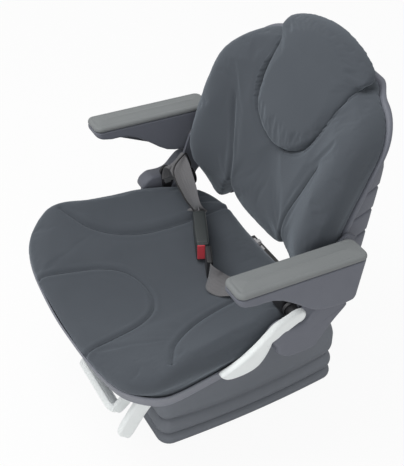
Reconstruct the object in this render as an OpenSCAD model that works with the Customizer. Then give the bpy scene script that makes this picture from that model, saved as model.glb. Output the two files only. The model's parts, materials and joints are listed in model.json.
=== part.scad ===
// Tractor suspension seat: bellows-covered scissor suspension, fore and aft rails,
// dished seat cushion, reclining backrest with a sliding head extension, two
// folding armrests and a lap belt. Millimetres. The occupant faces -Y, +X is the
// occupant's left, and the origin is the centre of the base on the cab floor.

/* [Base and suspension] */
// Length of the steel base tray, front to rear
base_l = 380; // [370:2:400]
// Thickness of the pressed steel sheet
sheet_t = 3; // [2:0.5:4]
// Bolt spacing of the base across the seat
bolt_gap_x = 216; // [200:2:230]
// Bolt spacing of the base along the seat
bolt_gap_y = 270; // [240:5:290]
// Diameter of the four bolt holes
bolt_hole_d = 9; // [7:0.5:11]
// Suspension stroke
stroke = 80; // [60:5:80]
// Height of the upper scissor pivots over the lower ones
scissor_rise = 145; // [140:1:150]
// Pivot to glide length of a scissor arm
scissor_l = 310; // [300:2:316]
// Diameter of the scissor hinge pins
scissor_pin_d = 12; // [10:1:14]
// Width of the rubber bellows over its folds
bellows_w = 331; // [325:2:345]
// Length of the rubber bellows over its folds
bellows_l = 417; // [410:2:430]

/* [Rails and pan] */
// Distance between the two slide rails, centre to centre
rail_gap = 210; // [190:5:220]
// Length of the slide rails
rail_l = 360; // [340:5:370]
// Height of the seat pan rim over the floor
rim_z = 290; // [286:1:294]
// Depth of the seat pan
pan_d = 44; // [42:1:46]

/* [Cushions] */
// Largest width of the seat cushion
seat_w = 552; // [540:2:556]
// Height of the cushion surface at its lowest point
seat_z = 288; // [286:1:292]
// Rise of the side bolsters over the middle of the seat
bolster_h = 50; // [40:1:54]
// Largest width of the backrest cushion
back_w = 468; // [456:2:470]
// Forward reach of the backrest side bolsters
back_bolster = 36; // [28:1:40]

/* [Head extension] */
// Width of the head extension over its top corners
head_w = 270; // [250:2:276]
// Travel of the head extension
head_travel = 80; // [60:5:90]

/* [Armrests] */
// Width of an armrest pad
arm_w = 58; // [50:1:60]
// Length of an armrest pad
arm_l = 266; // [240:2:280]
// Distance from the middle of the seat to the inner side of an armrest
arm_inner = 256; // [256:1:262]

/* [Belt] */
// Width of the belt webbing
web_w = 47; // [40:1:50]
// Thickness of the belt webbing
web_t = 2.2; // [1.6:0.1:3]
// Diameter of the buckle switch wire
wire_d = 3.6; // [3:0.2:4]

/* [Hidden] */
$fn = 48;

fit = 0.3;                 // gap between neighbours that are not fitted
run = 0.05;                // radial running clearance of a pin
cut = 1;                   // overrun of a cutting tool

// Suspension heights
pivot_z = 16;
top_pivot_z = pivot_z + scissor_rise;
pivot_y = 165;
glide_r = 11.5;
glide_gap = 1.5;
run_y = sqrt(scissor_l * scissor_l - scissor_rise * scissor_rise);
glide_y = pivot_y - run_y;
scissor_a = asin(scissor_rise / scissor_l);
plate_z = top_pivot_z + glide_r + glide_gap;
plate_top = plate_z + sheet_t;
lip_gap = 0.5;
channel_w = 22;
bellows_gap = 15.5;
wall_x = bellows_w / 2 - bellows_gap;

// Scissor arms
outer_x = wall_x - 38;
inner_x = wall_x - 50;
arm_t = 8;
arm_h = 26;
lug_x = wall_x - 29;
lug_t = 5;
stub_end = wall_x - sheet_t - 1;
tube_r = 9;
centre_play = 1.6;

// Damper, opened at its sliding end
damper_y = glide_y + 34;
damper_z = 22;
damper_top_y = 110;
damper_top_z = top_pivot_z - 11;
damper_a = atan2(damper_top_z - damper_z, damper_top_y - damper_y);
damper_len = norm([damper_top_z - damper_z, damper_top_y - damper_y]);
damper_r = 19;
damper_rod_r = 5;
damper_play = 3.8;

// Springs
spring_x = (damper_r + inner_x) / 2 - 2;
spring_y = glide_y + 49;
spring_r = 21;
spring_wire = 6;
spring_turns = 7;

// Rails
rail_z = plate_top;
rail_w = 44;
rail_h = 18;
rail_wall = 2.5;
slot_w = 14;
rail_nose = 22;            // upper rails start this far behind the lower ones
carriage_z = rail_z + rail_h + 10;
pan_z = rim_z - pan_d;

// Hip and recline
hip_y = 45;
hip_z = 295;
hip_pin_d = 14;
hip_plate_t = 6;
hip_in = 244.5;
back_plate_in = 238;
back_plate_t = 6;
lever_y = 18;
lever_z = 362;
lever_pin_d = 12;
cover_w = 35;

// Armrests
arm_pivot_y = 95;
arm_pivot_z = 430;
arm_pin_d = 16;
arm_tilt = 3.2;
arm_front_y = -130;
arm_front_z = 507;
pad_h = 11;

// Backrest
back_edge_w = back_w / 2;
head_a = 24;

function smooth(t) = let (c = min(1, max(0, t))) c * c * (3 - 2 * c);
function mix(a, b, t) = a + (b - a) * t;

// A closed skin over rings of points that all have the same count and turn
// anticlockwise as seen from the last ring.
module loft(rings) {
    n = len(rings[0]);
    m = len(rings);
    pts = [for (r = rings) for (p = r) p];
    sides = [for (k = [0:m - 2]) for (i = [0:n - 1])
        let (j = (i + 1) % n, a = k * n + i, b = k * n + j, c = a + n, d = b + n)
        each [[a, c, b], [b, c, d]]];
    low = [for (i = [0:n - 1]) i];
    high = [for (i = [0:n - 1]) m * n - 1 - i];
    polyhedron(pts, concat([low], sides, [high]), convexity = 6);
}

// Outline point of a rounded rectangle with half sides hx and hy, at angle q
function rounded_rect(hx, hy, r, n) = [for (k = [0:3]) for (i = [0:n - 1])
    let (q = 90 * k + 90 * i / (n - 1), sx = (k == 0 || k == 3) ? 1 : -1, sy = k < 2 ? 1 : -1)
    [sx * (hx - r) + r * cos(q), sy * (hy - r) + r * sin(q)]];

// Points spread evenly over a closed outline of corner points
function spread(c, n) = let (
    m = len(c),
    d = [for (i = [0:m - 1]) norm(c[(i + 1) % m] - c[i])],
    s = [for (i = 0, t = 0; i <= m; t = t + (i < m ? d[i] : 0), i = i + 1) t])
    [for (k = [0:n - 1]) let (t = s[m] * k / n,
        i = max([for (j = [0:m - 1]) s[j] <= t ? j : 0]))
        c[i] + (c[(i + 1) % m] - c[i]) * (t - s[i]) / d[i]];

// Rounds an outline by averaging each point with its neighbours
function soften(c, passes) = passes == 0 ? c : soften([for (i = [0:len(c) - 1])
    c[i] / 2 + (c[(i + 1) % len(c)] + c[(i + len(c) - 1) % len(c)]) / 4], passes - 1);

module both_sides() {
    children();
    mirror([1, 0, 0]) children();
}

// A plate in the Y-Z plane, from x to x + t
module side_plate(x, t) {
    translate([x, 0, 0]) rotate([90, 0, 90]) linear_extrude(t) children();
}

module pin_x(x0, x1, y, z, r) {
    translate([x0, y, z]) rotate([0, 90, 0]) cylinder(h = x1 - x0, r = r);
}

module box(lo, hi) {
    translate(lo) cube(hi - lo);
}

// Base tray: floor, side channels for the lower glides and lugs for the hinge pin
module base_frame() {
    color([0.16, 0.16, 0.17]) difference() {
        union() {
            box([-wall_x, -base_l / 2, 0], [wall_x, base_l / 2, sheet_t]);
            both_sides() {
                box([wall_x - sheet_t, -base_l / 2, 0],
                    [wall_x, base_l / 2, pivot_z + glide_r + lip_gap + sheet_t]);
                box([wall_x - channel_w, -base_l / 2, pivot_z + glide_r + lip_gap],
                    [wall_x, base_l / 2 - 40, pivot_z + glide_r + lip_gap + sheet_t]);
                difference() {
                    box([lug_x, pivot_y - 14, 0], [lug_x + lug_t, pivot_y + 14, pivot_z + 12]);
                    pin_x(lug_x - cut, lug_x + lug_t + cut, pivot_y, pivot_z,
                        scissor_pin_d / 2 + run);
                }
            }
            both_sides() difference() {
                box([damper_rod_r + 7, damper_y - 9, 0], [damper_rod_r + 11, damper_y + 9, damper_z + 9]);
                pin_x(0, 30, damper_y, damper_z, 4 + run);
            }
        }
        for (x = [-1, 1], y = [-1, 1])
            translate([x * bolt_gap_x / 2, y * bolt_gap_y / 2, -cut])
                cylinder(h = sheet_t + 2 * cut, r = bolt_hole_d / 2);
    }
}

// Bellows: three folds, the top one a broad skirt, as [height, outward offset]
bellows_fold = [[2, -7.2], [5, -1], [16, 0], [27, -2], [33, -9], [39, -2], [52, 1], [66, -2],
    [73, -12], [80, -2], [96, 1], [120, 0], [142, -3], [158, -7], [plate_z - fit, -10.6]];
bellows_wall = 3.5;
bellows_belly = 8;

function bellows_ring(z, off) = [
    for (p = rounded_rect(bellows_w / 2 + off, bellows_l / 2 + off, 26 + off, 9))
    let (b = bellows_belly * (1 - pow(2 * p[1] / bellows_l, 2)) * smooth((70 - z) / 60))
    [p[0] + sign(p[0]) * max(0, b), p[1], z]];

module bellows() {
    n = len(bellows_fold);
    outer = [for (f = bellows_fold) bellows_ring(f[0], f[1])];
    inner = [for (i = [n - 1:-1:0]) bellows_ring(bellows_fold[i][0], bellows_fold[i][1] - bellows_wall)];
    rings = concat(outer, inner, [outer[0]]);
    m = len(outer[0]);
    pts = [for (k = [0:2 * n - 1]) each rings[k]];
    faces = [for (k = [0:2 * n - 1]) for (i = [0:m - 1])
        let (j = (i + 1) % m, q = (k + 1) % (2 * n), a = k * m + i, b = k * m + j,
            c = q * m + i, d = q * m + j) each [[a, c, b], [b, c, d]]];
    color([0.38, 0.39, 0.42]) polyhedron(pts, faces, convexity = 8);
}

// Coil spring between the tray and the top plate
module coil_spring(x, y) {
    z0 = sheet_t + spring_wire / 2 + fit;
    h = plate_z - fit - spring_wire / 2 - z0;
    turn_n = 12;
    rings = [for (i = [0:spring_turns * turn_n]) let (
        t = i / (spring_turns * turn_n), q = 360 * spring_turns * t,
        lift = mix(t, smooth(t), 0.6))
        [for (k = [0:7]) let (s = 45 * k, r = spring_r + spring_wire / 2 * cos(s))
            [x + r * cos(q), y + r * sin(q), z0 + h * lift - spring_wire / 2 * sin(s)]]];
    loft(rings);
}

module suspension_springs() {
    color([0.3, 0.3, 0.32]) for (s = [-1, 1]) coil_spring(s * spring_x, spring_y);
}

module along_damper() {
    translate([0, damper_y, damper_z]) rotate([damper_a, 0, 0]) rotate([-90, 0, 0]) children();
}

damper_body_l = 150;
damper_cap = 6;

module damper_body() {
    color([0.13, 0.13, 0.14]) {
        difference() {
            union() {
                pin_x(-damper_rod_r - 6, damper_rod_r + 6, damper_y, damper_z, 9);
                along_damper() cylinder(h = 20, r = 6);
                along_damper() translate([0, 0, 17]) cylinder(h = damper_body_l - 17, r = damper_r);
            }
            pin_x(-30, 30, damper_y, damper_z, 4 + run);
            along_damper() translate([0, 0, 23])
                cylinder(h = damper_body_l - 23 - damper_cap, r = damper_r - 2.5);
            along_damper() translate([0, 0, damper_body_l - damper_cap - cut])
                cylinder(h = damper_cap + 2 * cut, r = damper_rod_r + damper_play);
        }
        pin_x(-damper_rod_r - 12, damper_rod_r + 12, damper_y, damper_z, 4);
    }
}

module damper_rod() {
    color([0.75, 0.76, 0.78]) {
        difference() {
            union() {
                pin_x(-damper_rod_r - 6, damper_rod_r + 6, damper_top_y, damper_top_z, 9);
                along_damper() translate([0, 0, damper_len - 106]) cylinder(h = 100, r = damper_rod_r);
                along_damper() translate([0, 0, damper_len - 110])
                    cylinder(h = 12, r = damper_r - 2.5 - damper_play);
            }
            pin_x(-30, 30, damper_top_y, damper_top_z, 4 + run);
        }
        pin_x(-damper_rod_r - 12, damper_rod_r + 12, damper_top_y, damper_top_z, 4);
    }
}

bump_x = 0.6 * inner_x;
bump_y = 100;

module bump_stops() {
    h = plate_z - stroke - 2;
    color([0.08, 0.08, 0.08]) for (s = [-1, 1]) translate([s * bump_x, bump_y, sheet_t])
        rotate_extrude() polygon([[0, 0], [15, 0], [15, 8], [11, 14], [14, 24], [10, 34],
            [12, 46], [8, h - sheet_t - 6], [5, h - sheet_t], [0, h - sheet_t]]);
}

module lower_hinge_pin() {
    color([0.7, 0.7, 0.72])
        pin_x(-lug_x - lug_t - 3, lug_x + lug_t + 3, pivot_y, pivot_z, scissor_pin_d / 2);
}

// One side bar of a scissor arm, from its hinge to its glide
module arm_bar(x, z_hinge, z_glide) {
    a = atan2(z_glide - z_hinge, run_y);
    side_plate(x, arm_t) union() {
        translate([pivot_y, z_hinge]) circle(r = arm_h / 2 - 1);
        translate([glide_y, z_glide]) circle(r = 10);
        translate([pivot_y, z_hinge]) rotate([0, 0, 180 - a])
            translate([0, -10]) square([scissor_l, 20]);
    }
}

mid_y = pivot_y - run_y / 2;
mid_z = pivot_z + scissor_rise / 2;

module outer_scissor() {
    color([0.22, 0.22, 0.24]) difference() {
        union() {
            both_sides() {
                arm_bar(outer_x, pivot_z, top_pivot_z);
                pin_x(outer_x + arm_t, stub_end, glide_y, top_pivot_z, 5);
            }
            pin_x(-outer_x, outer_x, glide_y + 2, top_pivot_z - 1, tube_r);
        }
        both_sides() {
            pin_x(outer_x - cut, outer_x + arm_t + cut, pivot_y, pivot_z, scissor_pin_d / 2 + run);
            pin_x(outer_x - cut, outer_x + arm_t + cut, mid_y, mid_z, scissor_pin_d / 2 + run);
        }
    }
}

module centre_pins() {
    color([0.7, 0.7, 0.72]) both_sides()
        pin_x(inner_x - 3, outer_x + arm_t + 3, mid_y, mid_z, scissor_pin_d / 2);
}

module glide(x, z) {
    translate([x, glide_y, z]) rotate([0, 90, 0]) difference() {
        cylinder(h = stub_end - x - 1, r = glide_r);
        translate([0, 0, -cut]) cylinder(h = 40, r = 5 + run);
    }
}

module upper_glides() {
    color([0.85, 0.84, 0.8]) both_sides() glide(wall_x - channel_w + 2, top_pivot_z);
}

module inner_scissor() {
    color([0.22, 0.22, 0.24]) difference() {
        union() {
            both_sides() {
                arm_bar(inner_x, top_pivot_z, pivot_z);
                pin_x(inner_x + arm_t, stub_end, glide_y, pivot_z, 5);
            }
            pin_x(-inner_x, inner_x, glide_y + 2, pivot_z + 1, tube_r);
        }
        both_sides() {
            pin_x(inner_x - cut, inner_x + arm_t + cut, pivot_y, top_pivot_z, scissor_pin_d / 2 + run);
            pin_x(inner_x - cut, inner_x + arm_t + cut, mid_y, mid_z,
                scissor_pin_d / 2 + centre_play);
        }
    }
}

module lower_glides() {
    color([0.85, 0.84, 0.8]) both_sides() glide(wall_x - channel_w + 2, pivot_z);
}

handle_y = -226;
handle_z = 196;
handle_pin_d = 8;
handle_lug_t = 5;
handle_x0 = 8;
handle_x1 = 138;

// Top frame: plate, hanging channels for the upper glides, lugs and handle ears
module top_frame() {
    lip_z = top_pivot_z - glide_r - lip_gap - sheet_t;
    color([0.16, 0.16, 0.17]) {
        difference() {
            union() {
                box([-wall_x - 5, -base_l / 2 - 6, plate_z], [wall_x + 5, base_l / 2 + 6, plate_top]);
                both_sides() {
                    box([wall_x - sheet_t, -base_l / 2 + 10, lip_z],
                        [wall_x, base_l / 2 - 10, plate_z + cut]);
                    box([wall_x - channel_w, -base_l / 2 + 10, lip_z],
                        [wall_x, base_l / 2 - 60, lip_z + sheet_t]);
                    difference() {
                        box([lug_x, pivot_y - 14, top_pivot_z - 12],
                            [lug_x + lug_t, pivot_y + 14, plate_z + cut]);
                        pin_x(lug_x - cut, lug_x + lug_t + cut, pivot_y, top_pivot_z,
                            scissor_pin_d / 2 + run);
                    }
                    difference() {
                        box([damper_rod_r + 7, damper_top_y - 9, damper_top_z - 9],
                            [damper_rod_r + 11, damper_top_y + 9, plate_z + cut]);
                        pin_x(0, 30, damper_top_y, damper_top_z, 4 + run);
                    }
                }
            }
            for (x = [-1, 1]) translate([x * 40, 30, plate_z - cut])
                cylinder(h = sheet_t + 2 * cut, r = 14);
        }
        for (x = [handle_x0 - 12, handle_x1 + 12 - handle_lug_t]) difference() {
            union() {
                box([x, -base_l / 2 - 6, plate_top], [x + handle_lug_t, -base_l / 2 + 40, plate_top + 14]);
                side_plate(x, handle_lug_t) polygon([[handle_y - 6, handle_z - 9],
                    [handle_y + 4, handle_z - 9], [-base_l / 2, plate_top], [-base_l / 2, plate_top + 14],
                    [handle_y, handle_z + 8], [handle_y - 6, handle_z + 8]]);
            }
            pin_x(x - cut, x + handle_lug_t + cut, handle_y, handle_z, handle_pin_d / 2 + run);
        }
    }
}

module upper_hinge_pin() {
    color([0.7, 0.7, 0.72])
        pin_x(-lug_x - lug_t - 3, lug_x + lug_t + 3, pivot_y, top_pivot_z, scissor_pin_d / 2);
}

module lower_rails() {
    color([0.3, 0.3, 0.32]) both_sides() translate([rail_gap / 2, 0, rail_z]) {
        box([-rail_w / 2, -rail_l / 2, 0], [rail_w / 2, rail_l / 2, rail_wall]);
        for (s = [-1, 1]) translate([s * (rail_w - rail_wall) / 2, 0, 0])
            box([-rail_wall / 2, -rail_l / 2, 0], [rail_wall / 2, rail_l / 2, rail_h]);
        for (s = [-1, 1]) translate([s * (rail_w + slot_w) / 4, 0, 0])
            box([-(rail_w - slot_w) / 4, -rail_l / 2, rail_h - rail_wall],
                [(rail_w - slot_w) / 4, rail_l / 2, rail_h]);
    }
}

module upper_rails() {
    color([0.45, 0.45, 0.47]) both_sides() translate([rail_gap / 2, 0, rail_z]) {
        foot = rail_w / 2 - rail_wall - 0.5;
        box([-foot, rail_nose - rail_l / 2, rail_wall + fit], [foot, rail_l / 2, rail_h - rail_wall - fit]);
        box([-slot_w / 2 + 2, rail_nose - rail_l / 2, rail_wall + fit],
            [slot_w / 2 - 2, rail_l / 2, carriage_z - rail_z]);
    }
}

// Weight adjusting handle: a bar hung on two short arms, folded down at rest
module weight_handle() {
    bar_y = handle_y - 66;
    color([0.86, 0.88, 0.86]) difference() {
        union() {
            for (x = [handle_x0, handle_x1 - 8]) side_plate(x, 8) union() {
                translate([handle_y, handle_z]) circle(r = 8);
                polygon([[handle_y - 4, handle_z + 8], [handle_y + 5, handle_z - 6],
                    [bar_y + 14, handle_z - 62], [bar_y - 4, handle_z - 40]]);
            }
            translate([0, bar_y, handle_z - 52]) rotate([-38, 0, 0])
                handle_bar(handle_x0 - 22, handle_x1, 30, 15);
        }
        pin_x(handle_x0 - cut, handle_x1 + cut, handle_y, handle_z, handle_pin_d / 2 + run);
        translate([0, bar_y, handle_z - 52]) rotate([-38, 0, 0])
            handle_bar(handle_x0 - 12, handle_x1 - 10, 20, 3.5, 15);
    }
}

// A flat bar with round ends, its broad face up
module handle_bar(x0, x1, w, t, lift = 0) {
    r = w / 2;
    z0 = lift > 0 ? lift / 2 - t + 0.5 : -t / 2;
    translate([0, 0, z0]) linear_extrude(t) union() {
        translate([x0 + r, 0]) circle(r = r);
        translate([x1 - r, 0]) circle(r = r);
        translate([x0 + r, -r]) square([x1 - x0 - 2 * r, w]);
    }
}

module weight_handle_insert() {
    bar_y = handle_y - 66;
    color([0.9, 0.92, 0.9]) translate([0, bar_y, handle_z - 52]) rotate([-38, 0, 0])
        handle_bar(handle_x0 - 12 + 0.6, handle_x1 - 10 - 0.6, 18.8, 3.5 - fit, 15);
}

module handle_pin() {
    color([0.7, 0.7, 0.72])
        pin_x(handle_x0 - 14, handle_x1 + 14, handle_y, handle_z, handle_pin_d / 2);
}

// Pan frame: cross beams on the rails that carry the pan and the hip brackets
beam_h = pan_z - carriage_z - fit;
foot_x = 188;
leg_x = 238;

module pan_frame() {
    color([0.16, 0.16, 0.17]) {
        for (y = [-150, 20]) difference() {
            box([-foot_x, y, carriage_z], [foot_x, y + 50, pan_z - fit]);
            box([-foot_x - cut, y + 3, carriage_z + 3], [foot_x + cut, y + 47, pan_z - fit - 3]);
        }
        for (s = [-1, 1]) translate([s * rail_gap / 2, 0, 0])
            box([-15, rail_nose - rail_l / 2, carriage_z], [15, 120, carriage_z + 2.5]);
        for (x = [slide_ear, slide_ear + 36]) difference() {
            box([x, slide_y - 10, carriage_z], [x + 4, -150, carriage_z + 22]);
            pin_x(x - cut, x + 5, slide_y, slide_z, 5 + run);
        }
    }
}

// Plan outline of the seat, front at -Y, drawn over its right half
seat_half = [[0, -343], [90, -339], [160, -331], [215, -316], [250, -290], [272, -258], [276, -225],
    [270, -165], [263, -110], [256, -50], [241, 5], [224, 45], [198, 80], [160, 102], [110, 112], [0, 112]];
seat_k = seat_w / 552;
seat_outline = soften(spread(concat([for (p = seat_half) [p[0] * seat_k, p[1]]],
    [for (i = [len(seat_half) - 2:-1:1]) [-seat_half[i][0] * seat_k, seat_half[i][1]]]), 56), 1);
seat_mid = [0, -110];

// Height of the seat surface
function seat_top(x, y) = let (
    k = x / 140,
    front = smooth((-y - 200) / 150),
    along = y < -140 ? 14 * pow((y + 140) / 200, 2) : 16 * pow((y + 140) / 250, 2))
    seat_z + along + bolster_h * 0.36 * k * k * (1 - 0.4 * front);

function ring_at(c, mid, t) = [for (p = c) mid + (p - mid) * t];

module seat_pan() {
    o = seat_outline;
    function r(t, z) = [for (p = ring_at(o, seat_mid, t)) [p[0], p[1], z]];
    color([0.49, 0.5, 0.54]) loft([r(0.84, pan_z), r(0.93, pan_z + 3), r(0.957, pan_z + 12),
        r(0.997, rim_z), r(0.983, rim_z), r(0.943, pan_z + 14), r(0.92, pan_z + 6), r(0.84, pan_z + 4)]);
}

module seat_cushion() {
    o = seat_outline;
    bottom = pan_z + 5.4;
    function flat(t, z) = [for (p = ring_at(o, seat_mid, t)) [p[0], p[1], z]];
    function top(t, drop) = [for (p = ring_at(o, seat_mid, t))
        [p[0], p[1], max(drop > 10 ? rim_z + 3.5 - 0.05 * drop : 0, seat_top(p[0], p[1]) - drop)]];
    color([0.31, 0.33, 0.36]) loft([flat(0.82, bottom), flat(0.9, bottom + 3), flat(0.93, bottom + 12),
        flat(0.973, rim_z), flat(0.995, rim_z + 1), top(1.0, 30), top(0.985, 14), top(0.955, 5),
        top(0.9, 1), top(0.78, 0), top(0.62, 0), top(0.44, 0), top(0.24, 0), top(0.06, 0)]);
}

// Hip bracket: welded to the pan frame, carries the recline pin and the lever pin
module hip_bracket(lever) {
    difference() {
        union() {
            side_plate(hip_in, hip_plate_t) union() {
                translate([18, hip_z - 31]) square([54, 31]);
                translate([hip_y, hip_z]) circle(r = 29);
                polygon([[14, hip_z - 4], [8, lever_z], [30, lever_z + 4], [68, hip_z + 20]]);
                translate([lever_y, lever_z]) circle(r = 13);
            }
            box([leg_x - 6, 22, hip_z - 31], [hip_in + 1, 68, hip_z - 25]);
            box([leg_x - 6, 22, pan_z - 7], [leg_x, 68, hip_z - 26]);
            box([foot_x, 22, pan_z - 7], [leg_x - 5, 68, pan_z - 1]);
        }
        pin_x(hip_in - cut, hip_in + hip_plate_t + cut, hip_y, hip_z, hip_pin_d / 2 + run);
        if (lever) pin_x(hip_in - cut, hip_in + hip_plate_t + cut, lever_y, lever_z, lever_pin_d / 2 + run);
    }
}

module left_hip_bracket() {
    color([0.13, 0.13, 0.14]) hip_bracket(true);
}

module right_hip_bracket() {
    color([0.13, 0.13, 0.14]) mirror([1, 0, 0]) hip_bracket(false);
}

hip_cover_line = [[-26, 300], [-28, 314], [-33, 322], [-35, 330], [-30, 341], [-21, 348], [-11, 352],
    [2, 351], [16, 350], [30, 353], [40, 361], [50, 371], [64, 381], [84, 382], [104, 374], [118, 363],
    [121, 354], [100, 332], [79, 308], [68, 293], [55, 279], [28, 276], [2, 278], [-14, 286]];

// Hip cover: a plastic shell over the recline joint
module hip_cover() {
    difference() {
        side_plate(hip_in + hip_plate_t + fit, cover_w)
            offset(r = 6) offset(delta = -6) polygon(hip_cover_line);
        side_plate(hip_in + hip_plate_t + fit - cut, cover_w - 2) offset(r = 3) offset(delta = -6)
            polygon(hip_cover_line);
    }
}

module left_hip_cover() {
    color([0.4, 0.41, 0.44]) hip_cover();
}

module right_hip_cover() {
    color([0.4, 0.41, 0.44]) mirror([1, 0, 0]) hip_cover();
}

module recline_pins() {
    color([0.7, 0.7, 0.72]) both_sides() {
        pin_x(back_plate_in - 1, hip_in + hip_plate_t + 1, hip_y, hip_z, hip_pin_d / 2);
        pin_x(hip_in + hip_plate_t, hip_in + hip_plate_t + 6, hip_y, hip_z, 12);
    }
}

// Slide lever: a bent rod under the pan with a flat plastic grip at its end
slide_y = -158;
slide_z = carriage_z + 8;
slide_x = 186;
slide_ear = 127;

module slide_lever() {
    color([0.6, 0.6, 0.62]) {
        pin_x(slide_ear - 3, slide_x + 5, slide_y, slide_z, 5);
        translate([slide_x, slide_y, slide_z]) rotate([90, 0, 0]) cylinder(h = 84, r = 5);
    }
}

module slide_lever_grip() {
    color([0.86, 0.88, 0.86]) difference() {
        side_plate(slide_x - 7, 14) offset(r = 5) offset(delta = -5) polygon([[-222, 222], [-250, 224],
            [-276, 196], [-309, 143], [-300, 124], [-285, 120], [-250, 170], [-220, 203]]);
        translate([slide_x, slide_y, slide_z]) rotate([90, 0, 0]) cylinder(h = 84 + run, r = 5 + run);
    }
}

// Recline lever: S-shaped, with a broad paddle in front
recline_line = [[-142, 297], [-134, 284], [-120, 278], [-98, 276.5], [-79, 279], [-65, 285],
    [-54, 296], [-45, 310], [-38, 326], [-32, 341], [-24, 351], [-14, 356], [0, 355], [14, 354.5],
    [27, 358], [33, 369], [28, 380], [14, 381.5], [-3, 376], [-30, 366.5], [-48, 352], [-64, 338],
    [-82, 325], [-98, 315], [-120, 305]];
recline_in = 269;
recline_t = 15;

module recline_lever() {
    color([0.88, 0.9, 0.89]) difference() {
        union() {
            side_plate(recline_in, recline_t) offset(r = 5) offset(delta = -5) polygon(recline_line);
            pin_x(hip_in + hip_plate_t + fit, recline_in + 1, lever_y, lever_z, 11);
        }
        pin_x(hip_in, recline_in + 8, lever_y, lever_z, lever_pin_d / 2 + run);
    }
}

module lever_pin() {
    color([0.7, 0.7, 0.72]) pin_x(hip_in - 3, recline_in + 7, lever_y, lever_z, lever_pin_d / 2);
}

// Belt retractor on a lug inside the left hip bracket
reel_lo = [192, 13, 338];
reel_hi = [234, 69, 384];
reel_slot_z = 349;

module belt_retractor() {
    color([0.09, 0.09, 0.1]) difference() {
        union() {
            box(reel_lo, reel_hi);
            box([reel_hi[0] - cut, reel_lo[1], reel_lo[2]], [hip_in, reel_lo[1] + 13, reel_lo[2] + 8]);
        }
        box([reel_lo[0] - cut, 16, reel_slot_z - 2.5], [reel_lo[0] + 24, 66, reel_slot_z + 2.5]);
    }
}

// Smooth curve through stops, with more points between them
function curve(p, k, t) = let (n = len(p) - 1, a = p[max(0, k - 1)], b = p[k], c = p[min(n, k + 1)],
    d = p[min(n, k + 2)]) b + (c - a) * t / 2 + (a - 2.5 * b + 2 * c - d / 2) * t * t
    + (1.5 * b - a / 2 - 1.5 * c + d / 2) * t * t * t;
function finer(p, m) = concat([for (k = [0:len(p) - 2]) for (i = [0:m - 1]) curve(p, k, i / m)],
    [p[len(p) - 1]]);

// A strap of rectangular section along a path; each stop is [point, width direction]
module strap(path, w, t) {
    stops = finer(path, 5);
    n = len(stops);
    function dir(i) = let (d = stops[min(n - 1, i + 1)][0] - stops[max(0, i - 1)][0]) d / norm(d);
    rings = [for (i = [0:n - 1]) let (
        d = dir(i), p = stops[i][0], g = stops[i][1],
        u = let (q = g - d * (g * d)) q / norm(q), v = cross(d, u))
        [p + u * w / 2 + v * t / 2, p - u * w / 2 + v * t / 2,
         p - u * w / 2 - v * t / 2, p + u * w / 2 - v * t / 2]];
    loft(rings);
}

// Buckle: stands on edge on the cushion, its long axis from the right hip inwards
buckle_at = [-54, 0, 325.5];
buckle_turn = -24;
buckle_tip = 6;
buckle_l = 98;
buckle_h = 50;
buckle_t = 26;
web_y = buckle_t / 2 - 4;  // the tongue and webbing lie behind the button

function in_buckle(x, y) = let (c = cos(buckle_tip) * x)
    buckle_at + [c * cos(buckle_turn) - y * sin(buckle_turn), c * sin(buckle_turn) + y * cos(buckle_turn),
        -x * sin(buckle_tip)];
buckle_up = [sin(buckle_tip) * cos(buckle_turn), sin(buckle_tip) * sin(buckle_turn), cos(buckle_tip)];

module at_buckle() {
    translate(buckle_at) rotate([0, 0, buckle_turn]) rotate([0, buckle_tip, 0]) children();
}

module buckle_body() {
    color([0.12, 0.14, 0.14]) at_buckle() difference() {
        box([-buckle_l / 2, -buckle_t / 2, -buckle_h / 2], [buckle_l / 2, buckle_t / 2, buckle_h / 2]);
        box([buckle_l / 2 - 16, -buckle_t / 2 + 1.5, -18],
            [buckle_l / 2 + cut, buckle_t / 2 - 8, buckle_h / 2 - 3]);
        box([buckle_l / 2 - 30, buckle_t / 2 - 6, -19], [buckle_l / 2 + cut, buckle_t / 2 - 2, 19]);
    }
}

button_travel = 5;

module buckle_button() {
    color([0.84, 0.3, 0.34]) at_buckle()
        box([buckle_l / 2 - 16 + button_travel + fit, -buckle_t / 2 + 1.8, -17.7],
            [buckle_l / 2 + 1.5, buckle_t / 2 - 8.3, buckle_h / 2 - 3.3]);
}

module belt_tongue() {
    color([0.75, 0.76, 0.77]) at_buckle()
        box([buckle_l / 2 - 29, web_y - 1.2, -18], [buckle_l / 2 + 14, web_y + 1.2, 18]);
}

grip_l = 46;

module tongue_grip() {
    color([0.07, 0.07, 0.08]) at_buckle() difference() {
        box([buckle_l / 2 + 12, web_y - 6, -17], [buckle_l / 2 + 12 + grip_l, web_y + 6, 33]);
        box([buckle_l / 2 + 8, web_y - 1.2, -18], [buckle_l / 2 + 14, web_y + 1.2, 18]);
    }
}

// Buckle strap: from the anchor at the right hip up, over and down into the buckle
strap_stops = [[[-233, 26, 352], [0, 1, 0.1]], [[-233, 27, 370], [0, 0.95, 0.3]],
    [[-229, 29, 390], [0, 0.85, 0.5]], [[-219, 30, 400], [0, 0.75, 0.67]],
    [[-202, 30, 396], [0.05, 0.7, 0.7]], [[-176, 28, 382], [0.2, 0.55, 0.8]],
    [[-146, 26, 364], [0.25, 0.35, 0.9]], [[-120, 24, 347], [0.22, 0.1, 0.97]],
    [in_buckle(-66, 0), buckle_up], [in_buckle(-52.5, 0), buckle_up]];

module buckle_strap() {
    color([0.36, 0.36, 0.38]) strap(strap_stops, web_w, web_t);
}

module buckle_anchor() {
    color([0.3, 0.3, 0.32]) {
        box([-hip_in, 12, 338], [-235, 25, 343]);
        box([-237, 12, 342], [-235, 42, 364]);
    }
}

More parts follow.
